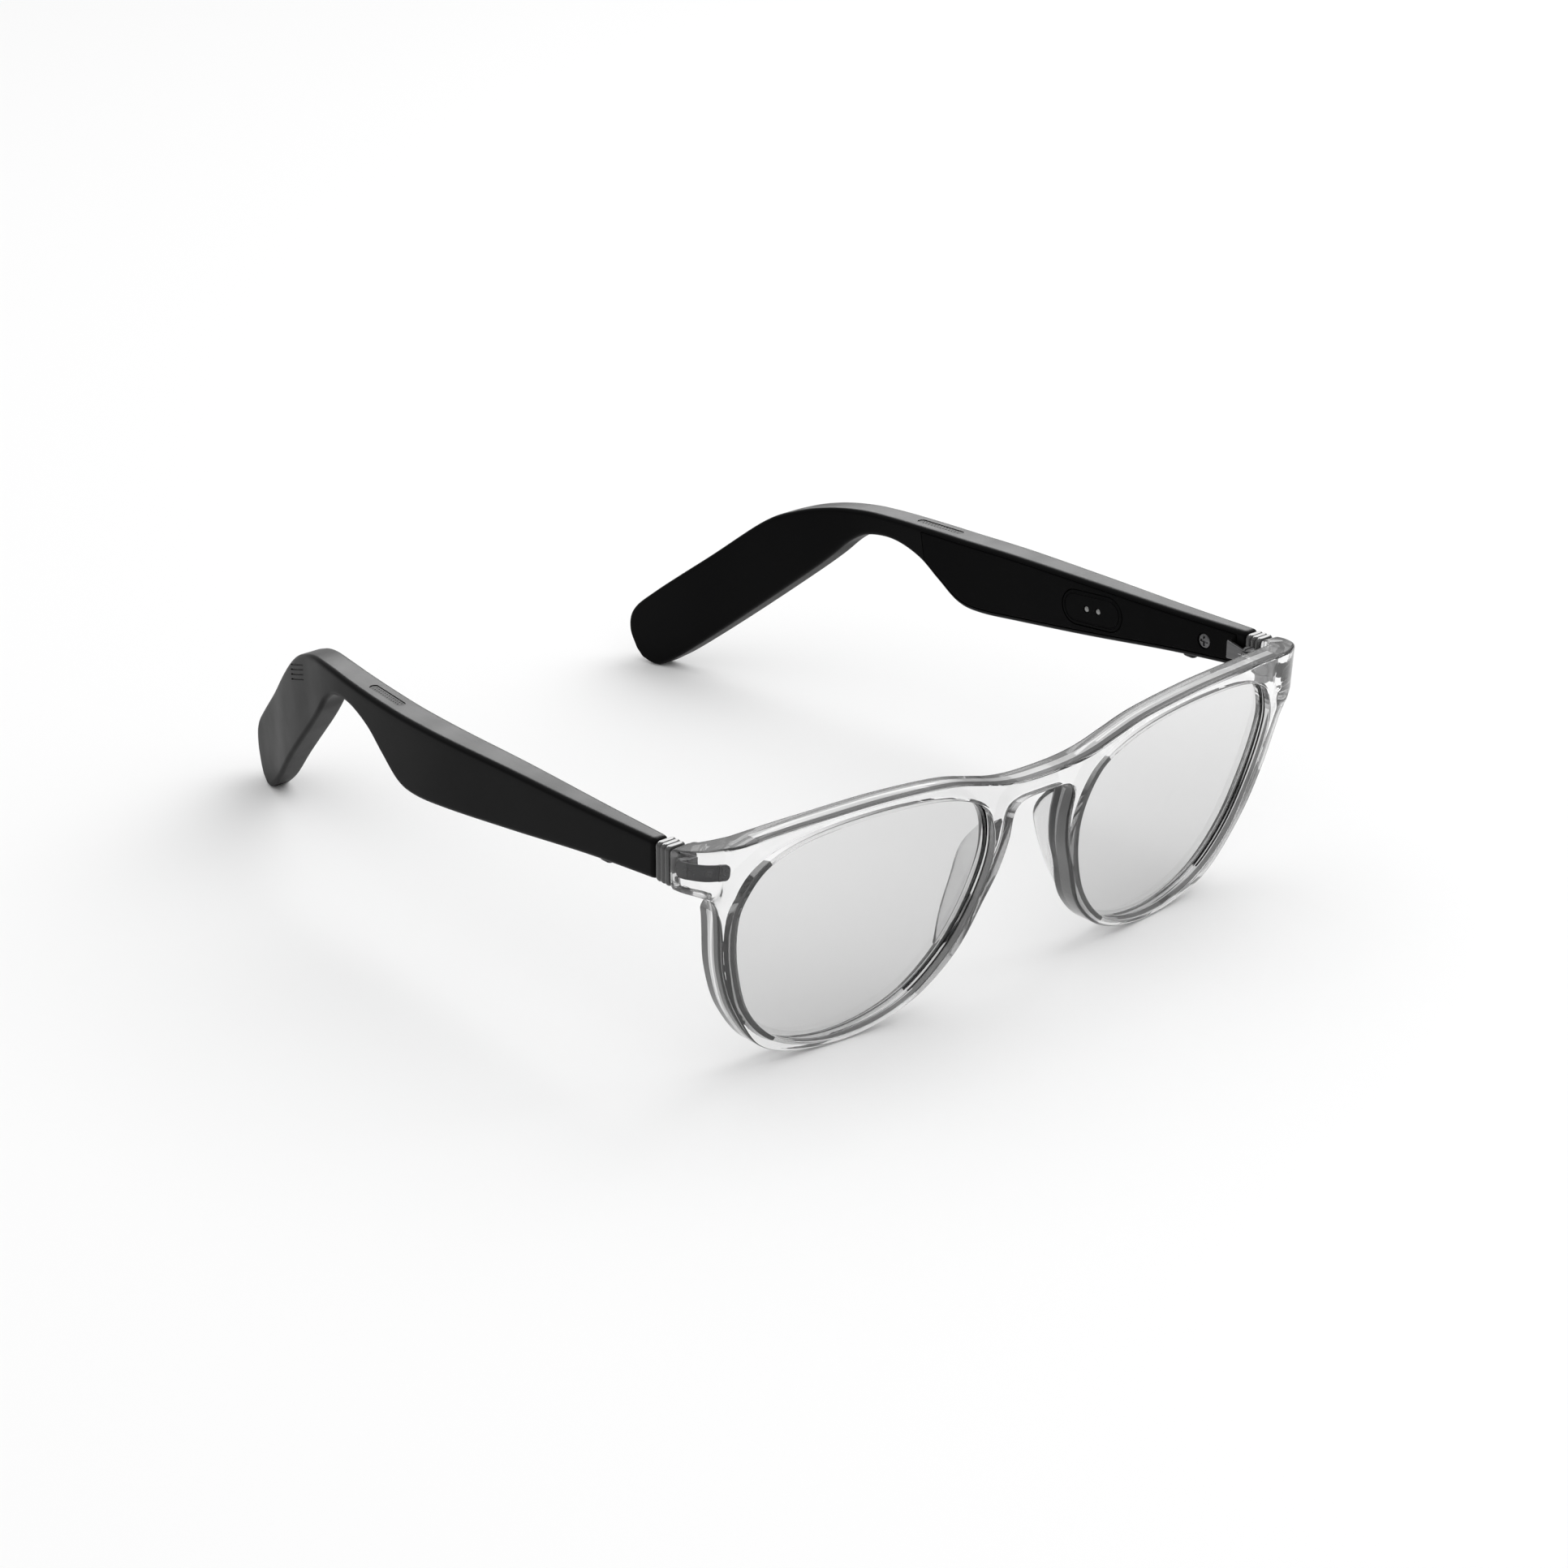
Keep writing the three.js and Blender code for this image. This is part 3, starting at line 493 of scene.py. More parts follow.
# Each clear plastic: dark and light grey, share of light that passes, grey of its shadow.
CLEAR = clear_plastic("clear_plastic", 0.92, 0.96, 1.0, 0.8)
# The edge copy is painted shade: a dark grey that stands in for the dark lines that reflection and refraction
# draw along the clear edges.
CLEAR_EDGE_SHADE = clear_plastic("clear_plastic_painted_edge_shade", 0.05, 0.09, 0.72, 0.45)
# The next four copies, light to dark, are painted light and painted shade for the bands that reflection and
# refraction draw in the clear walls.
CLEAR_PAINTED_LIGHT = clear_plastic("clear_plastic_painted_light_band", 0.86, 0.94, 0.5, 0.7)
CLEAR_PALE_SHADE = clear_plastic("clear_plastic_painted_pale_shade", 0.34, 0.42, 0.6, 0.6)
CLEAR_GREY_SHADE = clear_plastic("clear_plastic_painted_grey_shade", 0.13, 0.18, 0.35, 0.45)
CLEAR_DARK_SHADE = clear_plastic("clear_plastic_painted_dark_shade", 0.01, 0.02, 0.15, 0.45)
CLEAR_WING = clear_plastic("clear_plastic_wing", 0.72, 0.8, 0.96, 0.8)
# The collar's two copies are painted: dark grey as shade, and pale on its crests as a highlight.
COLLAR = clear_plastic("collar_plastic", 0.06, 0.10, 0.30, 0.5)
COLLAR_HIGHLIGHT = clear_plastic("collar_plastic_painted_highlight", 0.80, 0.92, 0.15, 0.5)
LENS = lens_glass()
BLACK = moulded("temple_satin_black", (0.0015, 0.0015, 0.0016), 0.38, 3600, 0.05)
INNER = moulded("inner_matte_black", (0.0018, 0.0018, 0.0019), 0.45, 4200, 0.03)
BUTTON = moulded("button_black", (0.012, 0.012, 0.012), 0.34, 3000, 0.2)
GRILLE = moulded("grille_black", (0.002, 0.002, 0.002), 0.42, 6000, 0.04)
STEEL = brushed("steel", (0.09, 0.09, 0.092), (0.17, 0.17, 0.172), 0.34)
PLATE = brushed("plate_metal", (0.03, 0.03, 0.031), (0.06, 0.06, 0.061), 0.3)
# Dark metal for the speaker; on the plate's sunk middle it is painted shade.
DARK_METAL_AND_SHADE = brushed("dark_metal", (0.02, 0.02, 0.021), (0.05, 0.05, 0.052), 0.34)
CONTACT = brushed("plated_contact", (0.22, 0.22, 0.215), (0.32, 0.32, 0.315), 0.3)
BOARD = moulded("board_lacquer", (0.01, 0.07, 0.035), 0.4, 1800)
CELL = brushed("cell_foil", (0.4, 0.41, 0.42), (0.56, 0.57, 0.58), 0.35)


# ---- front ---------------------------------------------------------------------------------------------
bend_inner = spline(BEND_INNER, 200)
bend_outer = spline(BEND_OUTER, 200)
bend_run = np.concatenate([[0], np.cumsum(np.linalg.norm(np.diff(bend_outer, axis=0), axis=1))])


def on_bend(along):
    """Points on the bend's outer and inner face in plan, this far round it."""
    return [np.column_stack([np.interp(along, bend_run, line[:, k]) for k in range(2)])
            for line in (bend_outer, bend_inner)]


def on_front(flat, depth):
    """Carries a point of the flat outline, and its depth behind the face, to the bowed and bent front."""
    u, z = np.abs(flat[:, 0]), flat[:, 1]
    sign = np.where(flat[:, 0] < 0, -1, 1)
    face = BOW * u**2 + LEAN * z
    plain = np.column_stack([u, face + depth, z])
    share = np.clip((u - BEND_FROM) / bend_run[-1], 0, 1)
    outer, inner = on_bend(share * bend_run[-1])
    across = (depth / DEPTH)[:, None]
    at = outer * (1 - across) + inner * across
    lean = LEAN * (z - BEND_HEIGHT) * (1 - share) ** 2
    bent = np.column_stack([at[:, 0], at[:, 1] + lean, z])
    weight = (smoothstep(*BEND_BLEND, z) * (u > BEND_FROM))[:, None]
    made = plain * (1 - weight) + bent * weight
    made[:, 0] *= sign
    return made


def edge_profile(radius, groove=None):
    """(inset, depth) pairs from the front face over the edge to the rear face."""
    front = [(radius * (1 - math.sin(a)), radius * (1 - math.cos(a))) for a in quarter(ROUND_STEPS)]
    rear = [(inset, DEPTH - depth) for inset, depth in reversed(front)]
    return front + (groove or [(0, depth) for depth in BANDS]) + rear


def front_outline():
    """The whole flat outline, with its ends as long as the bend."""
    lower = spline(LOWER_EDGE, 500)
    upper = spline(UPPER_EDGE, 300)
    for line in (lower, upper):
        past = line[:, 0] > BEND_FROM
        line[past, 0] = BEND_FROM + (line[past, 0] - BEND_FROM) * bend_run[-1] / (FLAT_REACH - BEND_FROM)
    half = np.vstack([lower, upper])
    whole = np.vstack([half, half[::-1][1:-1] * [-1, 1]])
    return relaxed(resample(counter_clockwise(whole), FRONT_SPACING, True), 3)


def opening_loop(spacing):
    """The left lens opening."""
    return resample(counter_clockwise(spline(OPENING, 600, True)), spacing, True)


def wall_look(at, into, depth, is_outer, in_groove):
    """Material of one strip of wall, by where it is on the front, which way it faces and how deep it is: the
    grey, pale, dark and light bands are painted shade and painted light that stand in for reflection and
    refraction; the openings' walls stay clear, except for dark painted shade on the groove's sideways walls.
    """
    sideways = abs(into[0]) > SIDEWAYS
    if not is_outer:
        return DARK_SHADE_SLOT if sideways and in_groove else FACE_SLOT
    if abs(at[0]) > END_FROM and at[1] > END_ABOVE:
        return PALE_SHADE_SLOT
    band = sum(depth >= edge for edge in BANDS)
    if not sideways:
        return (GREY_SHADE_SLOT, PAINTED_LIGHT_SLOT, PALE_SHADE_SLOT)[band]
    if abs(at[0]) < NOSE_SIDE:
        return (GREY_SHADE_SLOT, GREY_SHADE_SLOT, DARK_SHADE_SLOT)[band]
    return (GREY_SHADE_SLOT, PAINTED_LIGHT_SLOT, GREY_SHADE_SLOT)[band]


def front_walls(jobs):
    """Points, depths, faces and looks of the walls, and (first point, last ring, count) of each wall."""
    flat, depths, faces, looks, rims = [], [], [], [], []
    for loop, into, profile, is_outer in jobs:
        first, count, last = len(depths), len(loop), len(profile) - 1
        for inset, depth in profile:
            flat += list(loop + into * inset)
            depths += [depth] * count
        for r in range(last):
            strips_to_face = min(r, last - 1 - r)
            on_rounding = strips_to_face < ROUND_STEPS
            beside_wall = strips_to_face >= ROUND_STEPS / 2
            front_of_opening = not is_outer and r < ROUND_STEPS
            in_groove = max(profile[r][0], profile[r + 1][0]) > GROOVE_SINK / 2
            for i in range(count):
                j = (i + 1) % count
                a, b = first + r * count, first + (r + 1) * count
                faces.append((a + i, a + j, b + j, b + i))
                if not on_rounding:
                    looks.append(wall_look(loop[i], into[i], profile[r][1], is_outer, in_groove))
                # The wall-side half of each rounding, except the openings' front ones, takes the edge copy,
                # which is painted shade for the dark edge lines.
                elif beside_wall and not front_of_opening:
                    looks.append(EDGE_SHADE_SLOT)
                else:
                    looks.append(FACE_SLOT)
        rims.append((first, first + last * count, count))
    return flat, depths, faces, looks, rims


def face_triangles(ring):
    """Points, triangles and their sources for one flat face between the outer ring and the openings'."""
    def on_plastic(points):
        return inside(points, ring[0]) & ~inside(points, ring[1]) & ~inside(points, ring[2])

    across = np.arange(-76, 76.1, FACE_SPACING)
    up = np.arange(0, 48, FACE_SPACING)
    grid = np.array([(u, z) for u in across for z in up])
    grid = grid[on_plastic(grid)]
    rim_points = np.vstack(ring)
    from_rim = np.array([np.min(np.hypot(*(rim_points - g).T)) for g in grid])
    grid = grid[from_rim > RIM_MARGIN]
    points = [Vector(p) for p in np.vstack([rim_points, grid])]
    edges, start = [], 0
    for loop in ring:
        edges += [(start + i, start + (i + 1) % len(loop)) for i in range(len(loop))]
        start += len(loop)
    at, _, triangles, origin, _, _ = delaunay_2d_cdt(points, edges, [], 0, 1e-6)
    centres = np.array([np.mean([at[i] for i in t], axis=0) for t in triangles])
    kept = [t for t, keep in zip(triangles, on_plastic(centres)) if keep]
    return at, kept, origin


def rim_index(source, rims, rear):
    """A rim point's place among the wall's points, or None if it isn't on a rim."""
    for first, last, count in rims:
        if source < count:
            return (last if rear else first) + source
        source -= count
    return None


def front_body():
    """The clear front: faces with rounded edges, a bridge, bent end pieces and a groove for each lens."""
    outer = front_outline()
    opening = opening_loop(FRONT_SPACING)
    mirrored = counter_clockwise(opening * [-1, 1])
    hole = edge_profile(OPENING_ROUND, GROOVE)
    flat, depths, faces, looks, rims = front_walls([
        (outer, inward(outer), edge_profile(EDGE_ROUND), True),
        (opening, -inward(opening), hole, False),
        (mirrored, -inward(mirrored), hole, False),
    ])
    at, triangles, origin = face_triangles([np.array(flat[first:first + count]) for first, _, count in rims])
    for rear in (False, True):
        index = []
        for point, sources in zip(at, origin):
            place = rim_index(sources[0], rims, rear) if sources else None
            if place is None:
                flat.append(np.array(point))
                depths.append(DEPTH if rear else 0.0)
                place = len(depths) - 1
            index.append(place)
        faces += [tuple(index[v] for v in t) for t in triangles]
        looks += [FACE_SLOT] * len(triangles)
    used = sorted({v for f in faces for v in f})
    renumber = {v: i for i, v in enumerate(used)}
    at_mm = on_front(np.array(flat)[used], np.array(depths)[used])
    made = new_object("front_clear", at_mm, [[renumber[v] for v in f] for f in faces])
    # Besides the clear face copy, these hold the painted edge shade and the painted bands of light and shade.
    for look in (CLEAR, CLEAR_EDGE_SHADE, CLEAR_PAINTED_LIGHT, CLEAR_PALE_SHADE, CLEAR_GREY_SHADE, CLEAR_DARK_SHADE):
        made.data.materials.append(look)
    for polygon, look in zip(made.data.polygons, looks):
        polygon.material_index = look
    return made


def nose_wing(side):
    """A clear wing that grows out of the rim's back beside the nose."""
    loops = []
    for k, (z, root, tip, reach) in enumerate(spline(NOSE_PAD, NOSE_ROWS)):
        rear = BOW * root**2 + LEAN * z + DEPTH - NOSE_SINK
        length = reach + NOSE_SINK
        thick = NOSE_THICK / 2 * min(1, 0.35 + k / 6, 0.35 + (NOSE_ROWS - 1 - k) / 6)
        shape = section(thick, length / 2, 0.9, 5, (1, 6))
        loop = []
        for a, b in shape:
            deep = length / 2 + b
            loop.append((root + (tip - root) * deep / length + a, rear + deep, z))
        loops.append(loop)
    wing = loft(f"nose_wing_{side}", loops, SIDES[side])
    wing.data.materials.append(CLEAR_WING)
    return wing


def lens_body(side):
    """A lens with a bevelled edge that sits in the rim's groove."""
    loop = opening_loop(0.7)
    centre = np.array(LENS_CENTRE)
    grown = loop - inward(loop) * LENS_INTO_RIM
    levels = [(scale, 0) for scale in LENS_RINGS] + [(1, LENS_BEVEL), (1, LENS_THICK - LENS_BEVEL)]
    levels += [(scale, LENS_THICK) for scale in reversed(LENS_RINGS)]
    loops = []
    for scale, depth in levels:
        flat = centre + (grown - centre) * scale
        face = BOW * flat[:, 0] ** 2 + LEAN * flat[:, 1]
        loops.append(np.column_stack([flat[:, 0], face + LENS_FRONT + depth, flat[:, 1]]))
    return loft(f"lens_glass_{side}", loops, SIDES[side])


# ---- hinge ---------------------------------------------------------------------------------------------
def bend_point(across, z, share):
    """A point in the bent end piece: shares of its thickness and of its length, and its height."""
    outer, inner = (line[0] for line in on_bend([share * bend_run[-1]]))
    at = outer + (inner - outer) * across
    return (at[0], at[1] + LEAN * (z - BEND_HEIGHT) * (1 - share) ** 2, z)


def knuckle(side, low, high):
    """One knuckle of the hinge, with bevelled ends."""
    profile = [
        (CORE, low), (KNUCKLE_R - KNUCKLE_EDGE, low), (KNUCKLE_R, low + KNUCKLE_EDGE),
        (KNUCKLE_R, high - KNUCKLE_EDGE), (KNUCKLE_R - KNUCKLE_EDGE, high), (CORE, high),
    ]
    return turned("knuckle", profile, (*PIVOT, 0), "z", SIDES[side])


def front_hinge(side):
    """The plate inside the clear end piece, with raised ends, a rivet, its arm and two knuckles."""
    half_thick, half_high = PLATE_HALF
    loops, looks = [], []
    for s, inset in end_rounding(60, 0.9, 12.0):
        share = PLATE_SHARE[0] + s * (PLATE_SHARE[1] - PLATE_SHARE[0])
        sunk = PLATE_MIDDLE[0] < share < PLATE_MIDDLE[1]
        proud = RIDGE if PLATE_MIDDLE[0] - RIDGE_SHARE < share <= PLATE_MIDDLE[0] else 0.0
        shape = section(half_thick - PLATE_SUNK * sunk + proud, max(half_high - inset, 0.2), 0.12, 3, (1, 4))
        loops.append([bend_point(PLATE_ACROSS + a / DEPTH, PLATE_Z + b, share) for a, b in shape])
        # The sunk middle takes the darker metal: painted shade in the recess.
        looks.append(1 if sunk else 0)
    plate = loft(f"hinge_plate_{side}", loops, SIDES[side], looks)
    plate.data.materials.append(PLATE)
    plate.data.materials.append(DARK_METAL_AND_SHADE)

    def on_plate(a, b, level):
        return bend_point(PLATE_ACROSS - level / DEPTH, PLATE_Z + b, RIVET_SHARE + a / bend_run[-1])

    levels = [(0, 0.2), (0, 0.42), (0.12, 0.5), (0.5, 0.5), (0.56, 0.36)]
    rivet = capsule("rivet", 1.9, 1.9, levels, on_plate, SIDES[side])
    steel_parts = [block("arm", (PIVOT[0], ARM_OUTER), ARM_Y, ARM_Z, 0.15, SIDES[side])]
    steel_parts += [knuckle(side, low, high) for low, high in OUTER_KNUCKLES]
    for part in steel_parts:
        part.data.materials.append(STEEL)
    return combine(plate, "UNION", rivet, *steel_parts)


def temple_hinge(side):
    """The leaf on the temple's inner face, narrowing towards the middle knuckle."""
    loops = []
    length = LEAF_Y[1] - LEAF_Y[0]
    middle, half = sum(LEAF_X) / 2, (LEAF_X[1] - LEAF_X[0]) / 2
    for s, inset in end_rounding(4, 0.25, length):
        low = LEAF_FOOT[0] + s * (LEAF_FOOT[1] - LEAF_FOOT[0])
        high = LEAF_HEAD[0] + s * (LEAF_HEAD[1] - LEAF_HEAD[0])
        shape = section(half - inset, (high - low) / 2 - inset, 0.2, 3, (1, 1))
        loops.append([(middle + a, LEAF_Y[0] + s * length, (low + high) / 2 + b) for a, b in shape])
    leaf = loft(f"hinge_leaf_{side}", loops, SIDES[side])
    low, high = MIDDLE_KNUCKLE
    arm = block("arm", (PIVOT[0] - 0.2, LEAF_X[1]), (HINGE_Y + 0.3, LEAF_Y[0] + 0.8),
                (low + 0.03, high - 0.03), 0.1, SIDES[side])
    return combine(leaf, "UNION", arm, knuckle(side, low, high))


def hinge_screw(side):
    """The pivot screw, with a slotted head."""
    profile = [
        (CORE, SCREW_FOOT), (SCREW_R - 0.1, SCREW_FOOT), (SCREW_R, SCREW_FOOT + 0.1), (SCREW_R, SCREW_HEAD),
        (1.0, SCREW_HEAD), (1.15, SCREW_HEAD + 0.1), (1.15, SCREW_TOP - 0.2), (0.9, SCREW_TOP),
        (CORE, SCREW_TOP),
    ]
    screw = turned(f"pivot_screw_{side}", profile, (*PIVOT, 0), "z", SIDES[side])
    half_x, half_y = SCREW_SLOT_HALF
    slot = block("slot", (PIVOT[0] - half_x, PIVOT[0] + half_x), (HINGE_Y - half_y, HINGE_Y + half_y),
                 (SCREW_TOP - SCREW_SLOT_DEEP, SCREW_TOP + 1), 0.02, SIDES[side])
    return combine(screw, "DIFFERENCE", slot)


def hinge_collar(side):
    """The clear collar between end piece and temple, ribbed all round, painted in two copies: a pale painted
    highlight on the crests' upward faces, and dark grey painted shade on the rest.
    """
    mid = (COLLAR_OUTER - COLLAR_THICK / 2, (COLLAR_Z[0] + COLLAR_Z[1]) / 2)
    length = COLLAR_Y[1] - COLLAR_Y[0]
    loops = []
    for s in np.linspace(0, 1, 43):
        wave = RIB_DEPTH * (1 - abs(math.sin(math.pi * COLLAR_RIBS * s)) ** 0.5)
        half = (COLLAR_THICK / 2 - wave, (COLLAR_Z[1] - COLLAR_Z[0]) / 2 - wave)
        shape = section(*half, 0.8, 5, (1, 1))
        loops.append([(mid[0] + a, COLLAR_Y[0] + s * length, mid[1] + b) for a, b in shape])
    collar = loft(f"collar_{side}", loops, SIDES[side])
    room = turned("room", bore(PIVOT_ROOM_R, 36, 46), (*PIVOT, 0), "z", SIDES[side])
    collar = combine(collar, "DIFFERENCE", room, leaf_room(side))
    collar.data.materials.clear()
    for look in (COLLAR, COLLAR_HIGHLIGHT):
        collar.data.materials.append(look)
    # Upward faces near the top of the crests get the pale copy, a painted highlight.
    crest = max(v.co.z for v in collar.data.vertices) - RIB_CREST / 1000
    for polygon in collar.data.polygons:
        polygon.material_index = int(polygon.center.z > crest and polygon.normal.z > 0.5)
    return collar


def leaf_room(side):
    """The space that the leaf and its arm take from collar, shell and cover."""
    return block("leaf_room", (60, LEAF_X[1] + 0.3), (HINGE_Y - 0.2, LEAF_Y[1] + 0.15),
                 (LEAF_Z[0] - 0.2, LEAF_Z[1] + 0.2), 0.02, SIDES[side])


# ---- temples -------------------------------------------------------------------------------------------
def temple_bar(name, side, span, steps, inset, depths, radius, end_radius):
    """A body inside the temple between two stations; depths(y) are measured from its outer face."""
    last = len(TEMPLE) - 1
    rows = spline(TEMPLE, TEMPLE_STEPS + 1)
    loops = []
    for s, shrink in end_rounding(steps, end_radius, TEMPLE_RUN * (span[1] - span[0]) / last):
        station = (span[0] + s * (span[1] - span[0])) / last * TEMPLE_STEPS
        row = np.array([np.interp(station, np.arange(TEMPLE_STEPS + 1), rows[:, k]) for k in range(4)])
        top, bottom = row[:2], row[2:]
        height = np.linalg.norm(top - bottom)
        middle = (top + bottom) / 2
        near, far = depths(middle[0])
        shape = section((far - near) / 2 - shrink, height / 2 - inset - shrink, max(radius - shrink, 0.05))
        loop = []
        for a, b in shape:
            y, z = middle + (top - bottom) / height * b
            near, far = depths(y)
            loop.append((plan(y, 1) - (near + far) / 2 + a, y, z))
        loops.append(loop)
    return loft(name, loops, SIDES[side])


def temple_shell(side):
    """The outer shell, with room for cover, leaf, button and grille, and with vent grooves at the bend."""
    full = temple_bar(f"temple_black_{side}", side, (0, len(TEMPLE) - 1.03), 150, 0,
                      lambda y: (0, plan(y, 2)), 1.0, 0.5)
    recess = temple_bar("recess", side, COVER_SPAN, 60, COVER_INSET,
                        lambda y: (plan(y, 2) - COVER_THICK - SEAM, plan(y, 2) + 1), 0.4, 0.3)
    button_hole = button_shape("hole", side, 0.12, 30, 38.6)
    tools = [recess, leaf_room(side), button_hole, slot_shape("slot", side, 0.05, 3, 1)]
    for i in range(VENTS):
        z = VENT_Z + (i - (VENTS - 1) / 2) * VENT_PITCH
        loops = []
        for s in np.linspace(0, 1, 9):
            y = VENT_Y + (s - 0.5) * VENT_LENGTH
            x = plan(y, 1)
            middle = z + VENT_SLOPE * (y - VENT_Y)
            loops.append([(x + a, y, middle + b) for a, b in section(0.22, 0.14, 0.13, 3, (1, 1))])
        tools.append(loft("vent", loops, SIDES[side]))
    return combine(full, "DIFFERENCE", *tools)


def temple_cover(side):
    """The cover on the inner face, with holes for the port and its screw."""
    cover = temple_bar(f"inner_cover_{side}", side, (COVER_SPAN[0] + 0.012, COVER_SPAN[1] - 0.015), 60,
                       COVER_INSET + SEAM, lambda y: (plan(y, 2) - COVER_THICK, plan(y, 2)), 0.25, 0.2)
    port = port_shape("port_hole", side, 0.18, [(0, -2), (0, 3)])
    screw = turned("screw_hole", bore(COVER_SCREW_R + 0.15, -2, 3), cover_screw_centre(), "x", SIDES[side])
    return combine(cover, "DIFFERENCE", port, screw, leaf_room(side))


def inner_x(y):
    """The x of the temple's inner face."""
    return plan(y, 1) - plan(y, 2)


def cover_screw_centre():
    return (inner_x(COVER_SCREW_Y), COVER_SCREW_Y, COVER_SCREW_Z)


port_front, port_rear = PORT_Y - PORT_LENGTH / 2, PORT_Y + PORT_LENGTH / 2
port_turn = math.asin((inner_x(port_front) - inner_x(port_rear)) / PORT_LENGTH)


def on_port(a, b, level):
    """A point a along, b up and level into the port, which leans and lies along the tapering inner face."""
    along = a * math.cos(PORT_LEAN) - b * math.sin(PORT_LEAN)
    up = a * math.sin(PORT_LEAN) + b * math.cos(PORT_LEAN)
    c, s = math.cos(port_turn), math.sin(port_turn)
    return (inner_x(PORT_Y) + level * c - along * s, PORT_Y + level * s + along * c, PORT_Z + up)


def port_shape(name, side, grow, levels):
    """The port's oval, grown outwards."""
    return capsule(name, PORT_LENGTH + 2 * grow, PORT_HEIGHT + 2 * grow, levels, on_port, SIDES[side])


def pin_centre(k):
    """The place of the front contact (k -1) or the rear one (k 1) in the charging face."""
    return on_port(k * PIN_SPACING / 2, 0, 0)


def charging_port(side):
    """The charging face, with a fine groove inside its edge and two holes for the contacts."""
    levels = [
        (0, 1.3), (0, 0.12), (0.1, 0.02), (0.45, 0.0),
        (0.55, 0.14), (0.75, 0.14), (0.85, 0.02), (3.2, 0.02),
    ]
    port = port_shape(f"port_face_{side}", side, 0, levels)
    pin_bore = bore(PIN_RADIUS + 0.08, -1, 2.5)
    holes = [turned("hole", pin_bore, pin_centre(k), "x", SIDES[side]) for k in (-1, 1)]
    return combine(port, "DIFFERENCE", *holes)


def charging_pin(side, k, place):
    """A contact with a domed face."""
    profile = [
        (CORE, 0.03), (0.3, 0.04), (0.48, 0.09),
        (PIN_RADIUS, 0.22), (PIN_RADIUS, 1.2), (CORE, 1.2),
    ]
    return turned(f"contact_{place}_{side}", profile, pin_centre(k), "x", SIDES[side])


def cover_screw(side):
    """The cover's screw, with a cross recess."""
    centre = cover_screw_centre()
    face, y, z = centre
    profile = [
        (CORE, 0.02), (1.15, 0.05), (1.33, 0.14), (COVER_SCREW_R, 0.3),
        (COVER_SCREW_R, 0.8), (0.6, 0.8), (0.6, 2.2), (CORE, 2.2),
    ]
    screw = turned(f"cover_screw_head_{side}", profile, centre, "x", SIDES[side])
    slots = []
    for half_y, half_z in ((0.98, 0.27), (0.27, 0.98)):
        slots.append(block("slot", (face - 1, face + 0.35), (y - half_y, y + half_y),
                           (z - half_z, z + half_z), 0.03, SIDES[side]))
    return combine(screw, "DIFFERENCE", *slots)


def middle_x(y):
    """The x of the temple's middle."""
    return plan(y, 1) - plan(y, 2) / 2


def button_shape(name, side, grow, low, high, soft=0.0):
    """The button's oval body, grown outwards; soft rounds its lower edge."""
    middle = middle_x(BUTTON_Y)
    levels = [(0, low), (0, high)]
    if soft:
        rounding = [(soft * (1 - math.sin(a)), low + soft * (1 - math.cos(a))) for a in quarter(5)]
        levels = rounding + [(0, high)]

    def place(a, b, level):
        return (middle + b, BUTTON_Y + a, level)

    return capsule(name, BUTTON_LENGTH + 2 * grow, BUTTON_WIDTH + 2 * grow, levels, place, SIDES[side])


def slot_shape(name, side, grow, deep, above):
    """The long oval on the temple's top, grown outwards, from deep below its edge to above it."""
    levels = [(0, SLOT_TOP - deep), (0, SLOT_TOP + above)]
    length = SLOT_Y[1] - SLOT_Y[0]
    mid_y = (SLOT_Y[0] + SLOT_Y[1]) / 2

    def place(a, b, level):
        y = mid_y + a
        return (middle_x(y) + b, y, level)

    return capsule(name, length + 2 * grow, SLOT_WIDTH + 2 * grow, levels, place, SIDES[side])


def speaker_grille(side):
    """A sunk strip with two staggered rows of sound holes."""
    strip = slot_shape(f"grille_strip_{side}", side, -0.03, 0.8, -0.12)
    holes = []
    for row, offset in ((-1, 0.0), (1, 0.35)):
        for k in range(HOLES):
            y = SLOT_Y[0] + 1.0 + offset + k * HOLE_PITCH
            x = middle_x(y) + row * HOLE_ROW
            profile = bore(HOLE_R, SLOT_TOP - 0.6, SLOT_TOP + 1)
            holes.append(turned("hole", profile, (x, y, 0), "z", SIDES[side], 12))
    return combine(strip, "DIFFERENCE", *holes)


# ---- the object ----------------------------------------------------------------------------------------
front = front_body()
combine(front, "UNION", nose_wing("left"), nose_wing("right"))
finish_piece(front, None, "front", "clear_frame", ["front_frame", "nose_pad_left", "nose_pad_right"], 50)

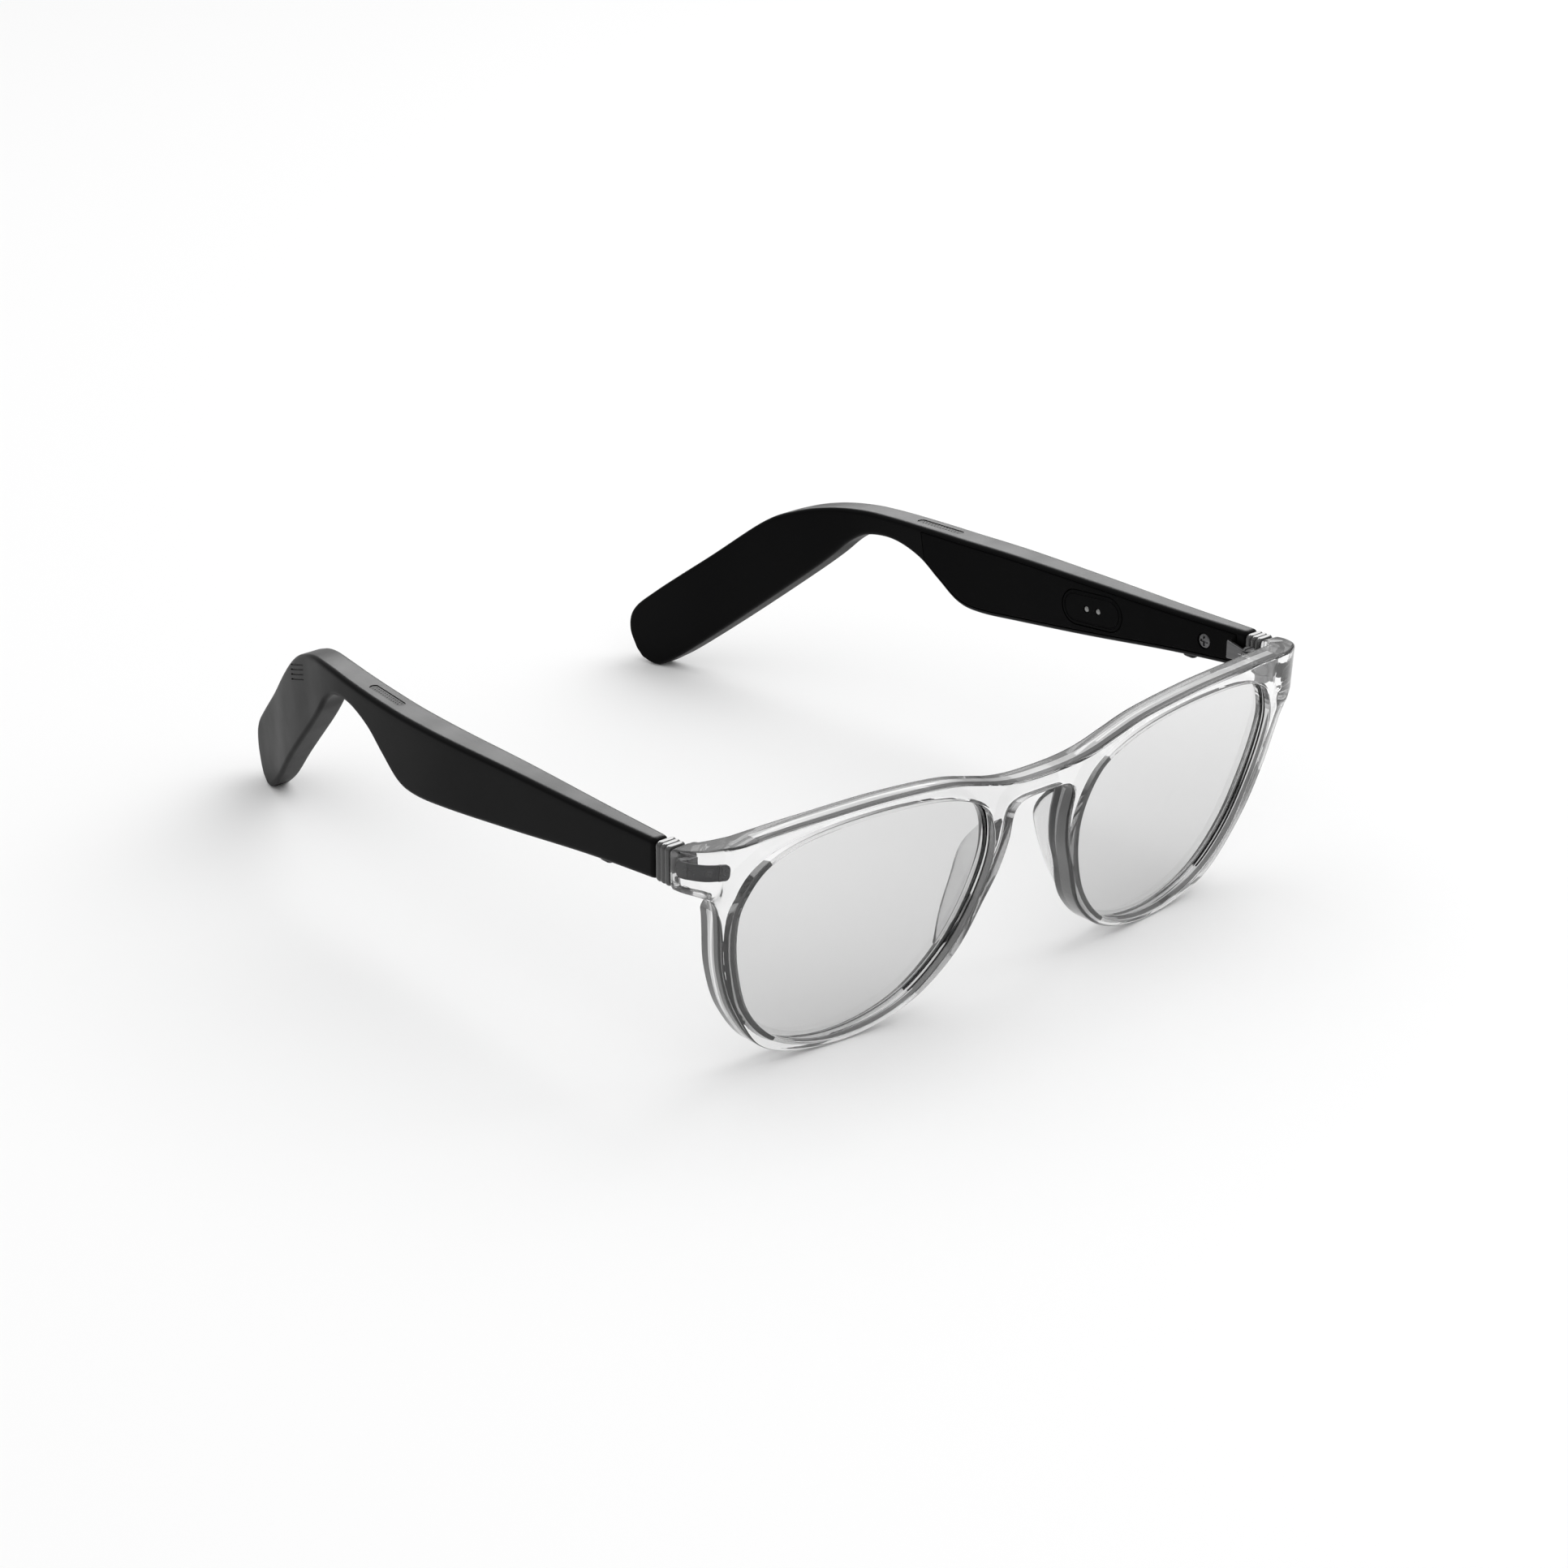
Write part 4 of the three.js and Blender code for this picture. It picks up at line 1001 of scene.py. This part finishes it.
lit_from_behind = []
for side in SIDES:
    temple = f"temple_{side}"
    pieces = [
        (lens_body(side), LENS, "front", "lens", [f"lens_{side}"]),
        (front_hinge(side), None, "front", "dark_metal", [f"front_hinge_{side}"]),
        (hinge_screw(side), STEEL, "front", "steel", [f"hinge_screw_{side}"]),
        (temple_hinge(side), STEEL, temple, "steel", [f"temple_hinge_{side}"]),
        (hinge_collar(side), None, temple, "clear_frame", [f"hinge_collar_{side}"]),
        (temple_shell(side), BLACK, temple, "temple_black", [f"temple_shell_{side}"]),
        (temple_cover(side), INNER, temple, "inner_black", [f"temple_cover_{side}"]),
        (charging_port(side), INNER, temple, "inner_black", [f"charging_port_{side}"]),
        (charging_pin(side, -1, "front"), CONTACT, temple, "contact", [f"charging_pin_front_{side}"]),
        (charging_pin(side, 1, "rear"), CONTACT, temple, "contact", [f"charging_pin_rear_{side}"]),
        (cover_screw(side), STEEL, temple, "steel", [f"cover_screw_{side}"]),
        (speaker_grille(side), GRILLE, temple, "grille", [f"speaker_grille_{side}"]),
        (button_shape(f"button_cap_{side}", side, 0, BUTTON_FOOT, BUTTON_TOP, 0.5), BUTTON, f"button_{side}",
         "button_black", [f"action_button_{side}"]),
    ]
    for piece, look, body, slot_name, replaced in pieces:
        finish_piece(piece, look, body, slot_name, replaced)
        if body != "front" and look:
            lit_from_behind.append(piece)

# The hidden pieces keep their CAD shapes.
hidden_looks = {
    "button_switch": STEEL, "circuit_board": BOARD, "battery": CELL, "speaker": DARK_METAL_AND_SHADE, "microphone": STEEL,
}
for node, look in hidden_looks.items():
    for side in SIDES:
        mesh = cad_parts[f"{node}_{side}"].data
        mesh.materials.clear()
        mesh.materials.append(look)


# ---- studio --------------------------------------------------------------------------------------------
def floor():
    """Pale paper just below the part, so that the two share no plane."""
    mesh = bpy.data.meshes.new("floor")
    corners = [(x * FLOOR_REACH, y * FLOOR_REACH, 0) for x, y in ((-1, -1), (1, -1), (1, 1), (-1, 1))]
    mesh.from_pydata(corners, [], [(0, 1, 2, 3)])
    obj = bpy.data.objects.new("floor", mesh)
    bpy.context.scene.collection.objects.link(obj)
    obj.location.z = -FLOOR_GAP
    mesh.materials.append(material("floor_paper", (FLOOR_TONE,) * 3, 0.9)[0])


def sky():
    """A white dome that darkens towards the horizon, which draws the edges of clear plastic."""
    world = bpy.data.worlds.new("studio")
    bpy.context.scene.world = world
    world.use_nodes = True
    tree = world.node_tree
    where = tree.nodes.new("ShaderNodeTexCoord")
    split = tree.nodes.new("ShaderNodeSeparateXYZ")
    ramp = tree.nodes.new("ShaderNodeValToRGB")
    while len(ramp.color_ramp.elements) < len(SKY_STOPS):
        ramp.color_ramp.elements.new(0.5)
    for element, (position, value) in zip(ramp.color_ramp.elements, SKY_STOPS):
        element.position = position
        element.color = (value, value, value, 1)
    tree.links.new(where.outputs["Generated"], split.inputs["Vector"])
    tree.links.new(split.outputs["Z"], ramp.inputs["Fac"])
    tree.links.new(ramp.outputs["Color"], tree.nodes["Background"].inputs["Color"])
    tree.nodes["Background"].inputs["Strength"].default_value = 1.0


def softbox(name, at, power):
    """A square lamp that faces the object."""
    light = bpy.data.lights.new(name, "AREA")
    light.shape = "SQUARE"
    light.size = LIGHT_SIZE
    light.energy = power
    obj = bpy.data.objects.new(name, light)
    bpy.context.scene.collection.objects.link(obj)
    obj.location = at
    obj.rotation_euler = (Vector(LIGHTS_AIM) - Vector(at)).to_track_quat("-Z", "Y").to_euler()
    return obj


def camera():
    """The view from in front of the right lens and above."""
    data = bpy.data.cameras.new("camera")
    data.lens = CAMERA_LENS
    data.sensor_width = CAMERA_SENSOR
    data.clip_start = 0.01
    obj = bpy.data.objects.new("camera", data)
    bpy.context.scene.collection.objects.link(obj)
    azimuth, elevation = math.radians(CAMERA_AZIMUTH), math.radians(CAMERA_ELEVATION)
    level = math.cos(elevation)
    back = Vector((math.sin(azimuth) * level, -math.cos(azimuth) * level, math.sin(elevation)))
    right = Vector((0, 0, 1)).cross(back).normalized()
    up = back.cross(right)
    turn = Matrix((right, up, back)).transposed().to_4x4()
    obj.matrix_world = Matrix.Translation(CAMERA_AT) @ turn
    bpy.context.scene.camera = obj


floor()
sky()
softbox("key", KEY_AT, KEY_POWER)
# The lamp behind lights only the temples and what is on them, because it would burn out the clear front.
back = softbox("back", BACK_AT, BACK_POWER)
lit = bpy.data.collections.new("lit_from_behind")
for piece in lit_from_behind:
    lit.objects.link(piece)
back.light_linking.receiver_collection = lit
camera()
bpy.context.scene.view_settings.view_transform = "Standard"
